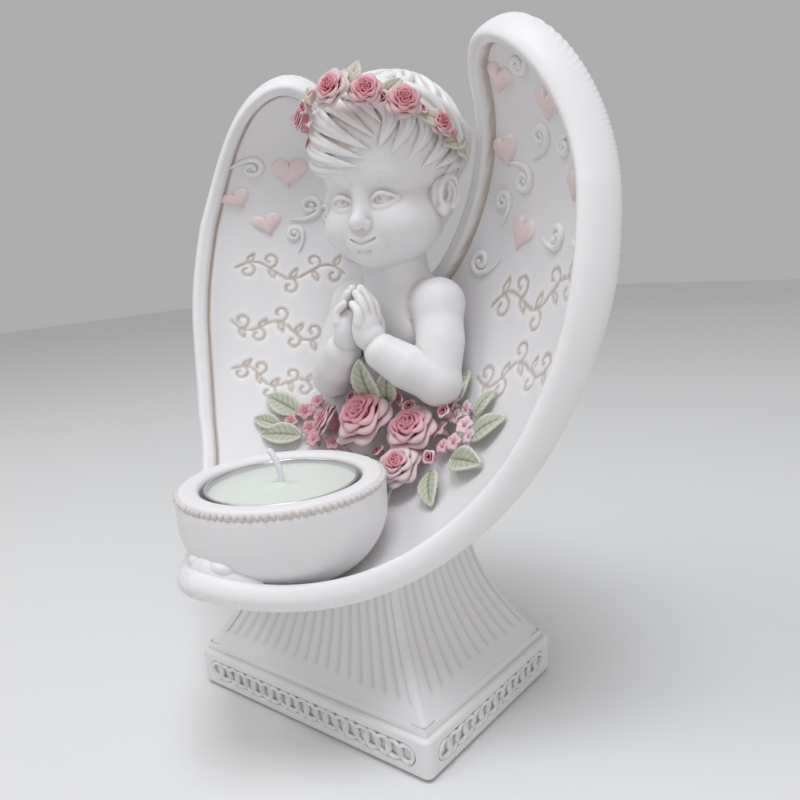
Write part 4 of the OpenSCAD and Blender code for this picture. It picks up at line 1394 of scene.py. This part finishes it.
def blossom(size, seed, tone):
    parts, tones = [], []
    for i in range(5):
        v = np.linspace(0, 1, 8)[:, None]
        u = np.linspace(-1, 1, 9)[None]
        notch = 1 - 0.14 * np.exp(-((u / 0.3) ** 2)) * v
        out = size * (0.06 + 0.44 * v * notch * (1 - 0.25 * u**2))
        side = size * 0.21 * u * np.sin(math.pi * np.clip(0.22 + 0.62 * v, 0, 1))
        rise = size * (0.12 + 0.16 * v - 0.14 * v**3 + 0.07 * u**2)
        middle = np.stack([out, side, rise + 0 * u], -1)
        points, faces = slab(middle, 0.09 * size)
        a = TAU * i / 5 + seed
        turn = np.array([[math.cos(a), math.sin(a), 0], [-math.sin(a), math.cos(a), 0], [0, 0, 1]])
        parts.append((points @ turn, faces))
        tones.append(np.concatenate([(tone * (1 - 0.5 * v) + 0 * u).ravel()] * 2))
    points, faces = lathe(np.array([[0, -0.05], [0.1, 0.05], [0.12, 0.16], [0.07, 0.24],
                                    [0, 0.26]]) * size, (0, 0, 0), 12)
    stem, stem_faces = lathe(np.array([[0, -0.4], [0.1, -0.4], [0.14, 0.1], [0, 0.16]]) * size, (0, 0, 0),
                             12)
    parts += [(points, faces), (stem, stem_faces)]
    tones += [np.full(len(points), 0.75), np.full(len(stem), tone)]
    points, faces = joined(parts)
    return points, faces, np.concatenate(tones)


def painted(name, parts, node, material, gain=1.6, strong=0.0):
    """One piece from (points, faces, tone) parts."""
    piece = mesh_piece(name, *joined([(p, f) for p, f, _ in parts]))
    tone = np.concatenate([t for _, _, t in parts])
    point_values(piece, "paint", np.clip(tone, 0, 1))
    add_wash(piece, gain, 3, strong * tone if strong else None)
    stand_for(piece, node, material)


def tipped(points, about_x, about_y):
    return points @ np.array(Euler([math.radians(about_x), math.radians(about_y), 0]).to_matrix()).T


# Roses of the bouquet: node, [x, w, height], size, tip forward and sideways in degrees, fade
BOUQUET_ROSES = [
    ("rose_centre", (-2.0, 78.5, 8.0), 19.5, (-8, -6), 0.0),
    ("rose_right", (14.5, 77.5, 5.5), 15.5, (-6, 10), 0.0),
    ("rose_lower", (14.0, 66.5, 4.2), 13.5, (4, 12), 0.28),
    ("rose_left", (-18.5, 78.0, 4.2), 12.0, (-4, -52), 0.0),
]
BUD_SPOTS = [(4, 89, 9.5), (9, 87, 8), (11.5, 84, 7), (-12, 86, 7), (23.5, 70.5, 3.4), (5, 69.5, 5),
             (-11, 71.5, 5), (-8, 88, 9), (24, 84, 4)]
BLOSSOMS = [
    (-31, 80, 1.4, 0.42), (-27, 75, 1.6, 0.42), (-28, 84.5, 1.4, 0.38), (-23.5, 71.5, 1.8, 0.4),
    (-34, 75.5, 1.2, 0.4),
    (25.5, 84, 1.8, 0.12), (30.5, 81, 1.6, 0.1), (28.5, 76, 1.8, 0.14), (34, 77.5, 1.4, 0.1),
    (23, 88, 2.0, 0.16), (29, 86.5, 1.4, 0.1), (25, 74.5, 2.2, 0.2), (-15, 84.5, 3.0, 0.3),
    (-16.5, 72, 2.6, 0.36),
    (-10, 68.5, 2.6, 0.3), (22.5, 79.5, 3.0, 0.22), (-24.5, 79.5, 2.2, 0.34),
]
# Leaves: x, w, height, turn, length
LEAVES = [
    (-34, 79.5, 1.0, 78, 13), (-30, 71.5, 1.0, 105, 13), (-14, 69.5, 1.6, 158, 11), (-23, 88, 1.2, 42, 9),
    (-38, 73, 0.8, 92, 9),
    (20, 88, 2.4, -38, 11), (35.5, 77.5, 1.0, -66, 12.5), (31, 70.5, 1.2, -100, 13),
    (24, 66, 1.6, -150, 12),
    (33, 85, 1.0, -40, 9), (-3, 69, 2.2, 176, 9), (8, 64.5, 1.8, 205, 9), (24, 90, 1.6, -10, 9),
]


def make_bouquet():
    for i, (node, (x, w, h), size, tips, fade) in enumerate(BOUQUET_ROSES):
        points, faces, tone = flower(size, ROSE_RINGS, i + 1, fade)
        painted(node + "_petals", [(on_sheet(tipped(points, *tips), x, w, h), faces, tone)], node, petals)
    buds = []
    for i, (x, w, h) in enumerate(BUD_SPOTS):
        points, faces, tone = flower(4.6 + 0.5 * (i % 3), BUD_RINGS, i + 3, 0.1)
        buds.append((on_sheet(tipped(points, 20 * math.sin(i * 2), 20 * math.cos(i * 3)), x, w, h), faces,
                     tone))
    painted("bouquet_bud_petals", buds, "bouquet_buds", petals)
    small = []
    for i, (x, w, h, tone_level) in enumerate(BLOSSOMS):
        points, faces, tone = blossom(6.2 - 0.5 * (i % 3), i * 1.3, tone_level)
        small.append((on_sheet(tipped(points, 9 * math.sin(i * 2), 12 * math.cos(i)), x, w, h), faces,
                      tone))
    painted("blossom_petals", small, "bouquet_blossoms", petals)
    green = []
    for i, (x, w, h, turn, length) in enumerate(LEAVES):
        points, faces, hollow = leaf(length, length * 0.52, i)
        green.append((on_sheet(points, x, w, h, turn), faces, hollow))
    # One leaf stands up between the forearms
    points, faces, hollow = leaf(15, 8.4, 3)
    green.append((on_sheet(tipped(points, 62, 4), -1.5, 86.5, 10.5), faces, hollow))
    points, faces, hollow = leaf(11, 6.0, 4)
    green.append((on_sheet(tipped(points, 52, 26), 3.5, 86.5, 10), faces, hollow))
    painted("bouquet_leaf_blades", green, "bouquet_leaves", leaf_green, 1.2, 0.8)


CROWN_R, CROWN_Z, CROWN_RISE = 21.2, 148.5, 13.0
# Flowers of the crown: angle from the front, size, fade
CROWN_ROSES = [(-72, 7.0, 0.0), (-43, 8.0, 0.0), (5, 11.0, 0.12), (28, 9.2, 0.0), (50.5, 10.0, 0.0),
               (76, 8.0, 0.0)]
CROWN_BUDS = [(-57, 4.4), (-28, 4.6), (-14, 4.4), (17, 3.8), (38.5, 4.8), (62, 4.2), (87, 4.4)]
# Leaves of the crown: angle, lean from upright, length
CROWN_LEAVES = [
    (-84, -70, 9), (-60, 60, 8), (-34, -40, 9), (-20, 50, 9), (-6, -62, 9), (17, -12, 11), (20, 30, 10),
    (38, -50, 9), (60, 70, 11), (63, -120, 10), (84, 72, 9), (94, 95, 10), (98, -60, 9), (108, 84, 9),
]


def on_crown(points, angle, out=0.0, lean=0.0):
    """Points drawn with +Y up the head and +Z outward, put on the ring of the crown."""
    a, b = math.radians(angle), math.radians(lean)
    across = np.array([math.cos(a), math.sin(a), 0])
    outward = np.array([math.sin(a), -math.cos(a), 0.34])
    outward /= np.linalg.norm(outward)
    up = np.cross(outward, across)
    p = np.asarray(points, float)
    x, y = p[..., 0] * math.cos(b) - p[..., 1] * math.sin(b), p[..., 0] * math.sin(b) + p[...,
                                                                                          1] * math.cos(b)
    at = np.array([CROWN_R * math.sin(a), BUST_Y + 0.2 - CROWN_R * math.cos(a),
                   CROWN_Z + CROWN_RISE * math.cos(a)])
    return at + outward * out + x[..., None] * across + y[..., None] * up + p[..., 2:3] * outward


def make_crown():
    roses = []
    for i, (angle, size, fade) in enumerate(CROWN_ROSES):
        points, faces, tone = flower(size, ROSE_RINGS, i + 9, fade)
        points[:, 2] *= 0.85
        roses.append((on_crown(tipped(points, -6, 0), angle, 0.8), faces, tone))
    painted("crown_rose_petals", roses, "crown_roses", crown_petals)
    buds = []
    for i, (angle, size) in enumerate(CROWN_BUDS):
        points, faces, tone = flower(size, BUD_RINGS, i + 5, 0.25)
        buds.append((on_crown(tipped(points, 25 * math.sin(i * 2), 25 * math.cos(i)), angle, 0.6), faces,
                     tone))
    painted("crown_bud_petals", buds, "crown_buds", crown_petals)
    green = []
    for i, (angle, lean, length) in enumerate(CROWN_LEAVES):
        points, faces, hollow = leaf(0.78 * length, 0.4 * length, i)
        green.append((on_crown(points, angle, 0.2, lean), faces, hollow))
    painted("crown_leaf_blades", green, "crown_leaves", crown_green, 1.2, 0.7)


# ======== Materials ========


def new_material(name):
    material = bpy.data.materials.new(name)
    material.use_nodes = True
    tree = material.node_tree
    shader = tree.nodes["Principled BSDF"]
    return material, tree, shader


def noise(tree, scale, detail):
    where = tree.nodes.get("where") or tree.nodes.new("ShaderNodeTexCoord")
    where.name = "where"
    node = tree.nodes.new("ShaderNodeTexNoise")
    node.inputs["Scale"].default_value = scale
    node.inputs["Detail"].default_value = detail
    node.inputs["Roughness"].default_value = 0.55
    tree.links.new(where.outputs["Object"], node.inputs["Vector"])
    return node.outputs["Fac"]


def set_inputs(shader, **values):
    """Sets a shader's inputs: a capital letter inside a name starts a new word."""
    for name, value in values.items():
        words = "".join(" " + c if c.isupper() else c for c in name)
        shader.inputs[words.strip()].default_value = value


def attribute(tree, name):
    node = tree.nodes.new("ShaderNodeAttribute")
    node.attribute_name = name
    return node.outputs["Fac"]


def ramp(tree, value, stops):
    node = tree.nodes.new("ShaderNodeValToRGB")
    tree.links.new(value, node.inputs["Fac"])
    while len(node.color_ramp.elements) < len(stops):
        node.color_ramp.elements.new(0.5)
    for element, (at, colour) in zip(node.color_ramp.elements, stops):
        element.position = at
        element.color = (*colour, 1) if len(colour) == 3 else colour
    return node.outputs["Color"]


def mixed(tree, amount, a, b):
    node = tree.nodes.new("ShaderNodeMix")
    node.data_type = "RGBA"
    for value, socket in ((amount, node.inputs[0]), (a, node.inputs[6]), (b, node.inputs[7])):
        if isinstance(value, (int, float)):
            socket.default_value = value
        elif isinstance(value, tuple):
            socket.default_value = (*value, 1)
        else:
            tree.links.new(value, socket)
    return node.outputs[2]


def maths(tree, operation, a, b=0.0, clamp=False):
    node = tree.nodes.new("ShaderNodeMath")
    node.operation = operation
    node.use_clamp = clamp
    for value, socket in ((a, node.inputs[0]), (b, node.inputs[1])):
        if isinstance(value, (int, float)):
            socket.default_value = value
        else:
            tree.links.new(value, socket)
    return node.outputs[0]


def bumped(tree, shader, height, strength, distance):
    node = tree.nodes.new("ShaderNodeBump")
    node.inputs["Strength"].default_value = strength
    node.inputs["Distance"].default_value = distance
    tree.links.new(height, node.inputs["Height"])
    tree.links.new(node.outputs["Normal"], shader.inputs["Normal"])


WASH = (0.42, 0.30, 0.19)


def washed(tree, colour, strength=0.75):
    """Tan antique wash over a colour, in the hollows and in faint patches."""
    patches = maths(tree, "MULTIPLY_ADD", noise(tree, 55, 4), 0.9)
    settled = maths(tree, "MULTIPLY", attribute(tree, "wash"), patches, clamp=True)
    settled = maths(tree, "MULTIPLY", settled, strength, clamp=True)
    return mixed(tree, settled, colour, WASH)


def resin_material():
    material, tree, shader = new_material("cast_resin")
    body = mixed(tree, noise(tree, 18, 3), (0.79, 0.78, 0.80), (0.85, 0.845, 0.87))
    body = mixed(tree, maths(tree, "MULTIPLY", noise(tree, 120, 5), 0.35), body, (0.84, 0.81, 0.79))
    colour = washed(tree, body, 0.6)
    # Painted highlight: ridges lightened towards near-white by the crest value
    crest = maths(tree, "MULTIPLY", attribute(tree, "crest"), 0.35, clamp=True)
    colour = mixed(tree, crest, colour, (0.93, 0.92, 0.92))
    tree.links.new(colour, shader.inputs["Base Color"])
    rough = maths(tree, "MULTIPLY_ADD", noise(tree, 300, 2), 0.16)
    tree.links.new(rough, shader.inputs["Roughness"])
    rough.node.inputs[2].default_value = 0.42
    set_inputs(shader, SubsurfaceWeight=0.12, SubsurfaceScale=0.0015, SubsurfaceRadius=(1.0, 0.8, 0.65))
    bumped(tree, shader, noise(tree, 1400, 3), 0.12, 0.0001)
    return material


def floor_material():
    material, tree, shader = new_material("floor_paper")
    colour = mixed(tree, noise(tree, 3, 2), (0.80, 0.80, 0.80), (0.82, 0.82, 0.82))
    tree.links.new(colour, shader.inputs["Base Color"])
    set_inputs(shader, Roughness=0.8)
    return material


def simple_material(name, light, dark, scale, roughness, metallic=0.0, bump=0.1, bump_scale=900):
    """Two close tones in soft patches, with fine grain."""
    material, tree, shader = new_material(name)
    colour = mixed(tree, noise(tree, scale, 4), dark, light)
    tree.links.new(colour, shader.inputs["Base Color"])
    set_inputs(shader, Roughness=roughness, Metallic=metallic)
    bumped(tree, shader, noise(tree, bump_scale, 3), bump, 0.0001)
    return material


def pearl_material():
    material, tree, shader = new_material("pearl_pink")
    body = mixed(tree, noise(tree, 90, 4), (0.80, 0.60, 0.60), (0.88, 0.72, 0.72))
    # Painted highlight: the domes and edges of the hearts lightened by the crest value
    crest = maths(tree, "MULTIPLY", attribute(tree, "crest"), 0.8, clamp=True)
    body = mixed(tree, crest, body, (0.90, 0.82, 0.82))
    tree.links.new(washed(tree, body, 0.55), shader.inputs["Base Color"])
    set_inputs(shader, Roughness=0.3, CoatWeight=0.35, CoatRoughness=0.25)
    bumped(tree, shader, noise(tree, 700, 3), 0.15, 0.0001)
    return material


def wax_material():
    material, tree, shader = new_material("candle_wax")
    body = mixed(tree, noise(tree, 60, 3), (0.70, 0.76, 0.70), (0.76, 0.80, 0.74))
    tree.links.new(body, shader.inputs["Base Color"])
    set_inputs(shader, Roughness=0.38, SubsurfaceWeight=0.5, SubsurfaceScale=0.004,
               SubsurfaceRadius=(0.9, 1.0, 0.8))
    bumped(tree, shader, noise(tree, 160, 3), 0.08, 0.0003)
    return material


def petal_material(name, pale, middle, deep):
    material, tree, shader = new_material(name)
    tone = attribute(tree, "paint")
    speckle = maths(tree, "MULTIPLY", noise(tree, 420, 4), 0.16)
    tone = maths(tree, "ADD", tone, maths(tree, "SUBTRACT", speckle, 0.08), clamp=True)
    body = ramp(tree, tone, [(0.02, pale), (0.26, middle), (0.6, deep),
                             (1.0, tuple(0.7 * c for c in deep))])
    # Painted highlight: petal ridges and rims lightened towards the pale tone by the crest value
    crest = maths(tree, "MULTIPLY", attribute(tree, "crest"), 0.3, clamp=True)
    body = mixed(tree, crest, body, pale)
    tree.links.new(washed(tree, body, 0.35), shader.inputs["Base Color"])
    set_inputs(shader, Roughness=0.5)
    bumped(tree, shader, noise(tree, 900, 3), 0.15, 0.0001)
    return material


def leaf_material(name, light, dark):
    material, tree, shader = new_material(name)
    body = mixed(tree, noise(tree, 260, 4), light, tuple(0.86 * c for c in light))
    body = mixed(tree, attribute(tree, "wash"), body, dark)
    # Ridges and edges lighter by the crest value: partly the leaves' paler edge paint, partly a painted
    # highlight
    crest = maths(tree, "MULTIPLY", attribute(tree, "crest"), 0.9, clamp=True)
    body = mixed(tree, crest, body, (0.72, 0.72, 0.64))
    tree.links.new(body, shader.inputs["Base Color"])
    set_inputs(shader, Roughness=0.55)
    bumped(tree, shader, noise(tree, 900, 3), 0.2, 0.0001)
    return material


def stand_for(piece, node, material, body="figurine"):
    """The piece takes the node's place, rides on its body and takes its finish."""
    piece.data.materials.append(material)
    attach(piece, body)
    nodes = [node] if isinstance(node, str) else node
    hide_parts(*nodes)


make_stage()
make_camera()
resin = resin_material()
pearl = pearl_material()
wax = wax_material()
foil = simple_material("foil", (0.78, 0.78, 0.79), (0.62, 0.62, 0.64), 40, 0.28, 1.0, 0.2, 350)
felt = simple_material("felt", (0.70, 0.68, 0.64), (0.58, 0.56, 0.52), 260, 0.95, 0.0, 0.6, 1800)
cotton = simple_material("wick_cotton", (0.90, 0.90, 0.94), (0.74, 0.74, 0.82), 500, 0.8, 0.0, 0.5, 2500)

make_plinth()
make_ornament()
make_pedestal()
make_felt()
make_wing(1, "right_wing")
make_wing(-1, "left_wing")
make_holder()
make_beads()
make_front_scroll()
make_tealight()
make_hearts(1, "right_hearts")
make_hearts(-1, "left_hearts")
make_scrolls(1, "right_scrolls")
make_scrolls(-1, "left_scrolls")
make_bust()
make_head()
make_hair()
petals = petal_material("petal_paint", (0.78, 0.63, 0.66), (0.68, 0.35, 0.40), (0.56, 0.07, 0.13))
crown_petals = petal_material("crown_petal_paint", (0.76, 0.60, 0.60), (0.68, 0.27, 0.32),
                              (0.58, 0.05, 0.11))
leaf_green = leaf_material("leaf_green", (0.52, 0.55, 0.42), (0.17, 0.20, 0.11))
crown_green = leaf_material("crown_leaf_green", (0.62, 0.55, 0.45), (0.28, 0.20, 0.13))
make_bouquet()
make_crown()

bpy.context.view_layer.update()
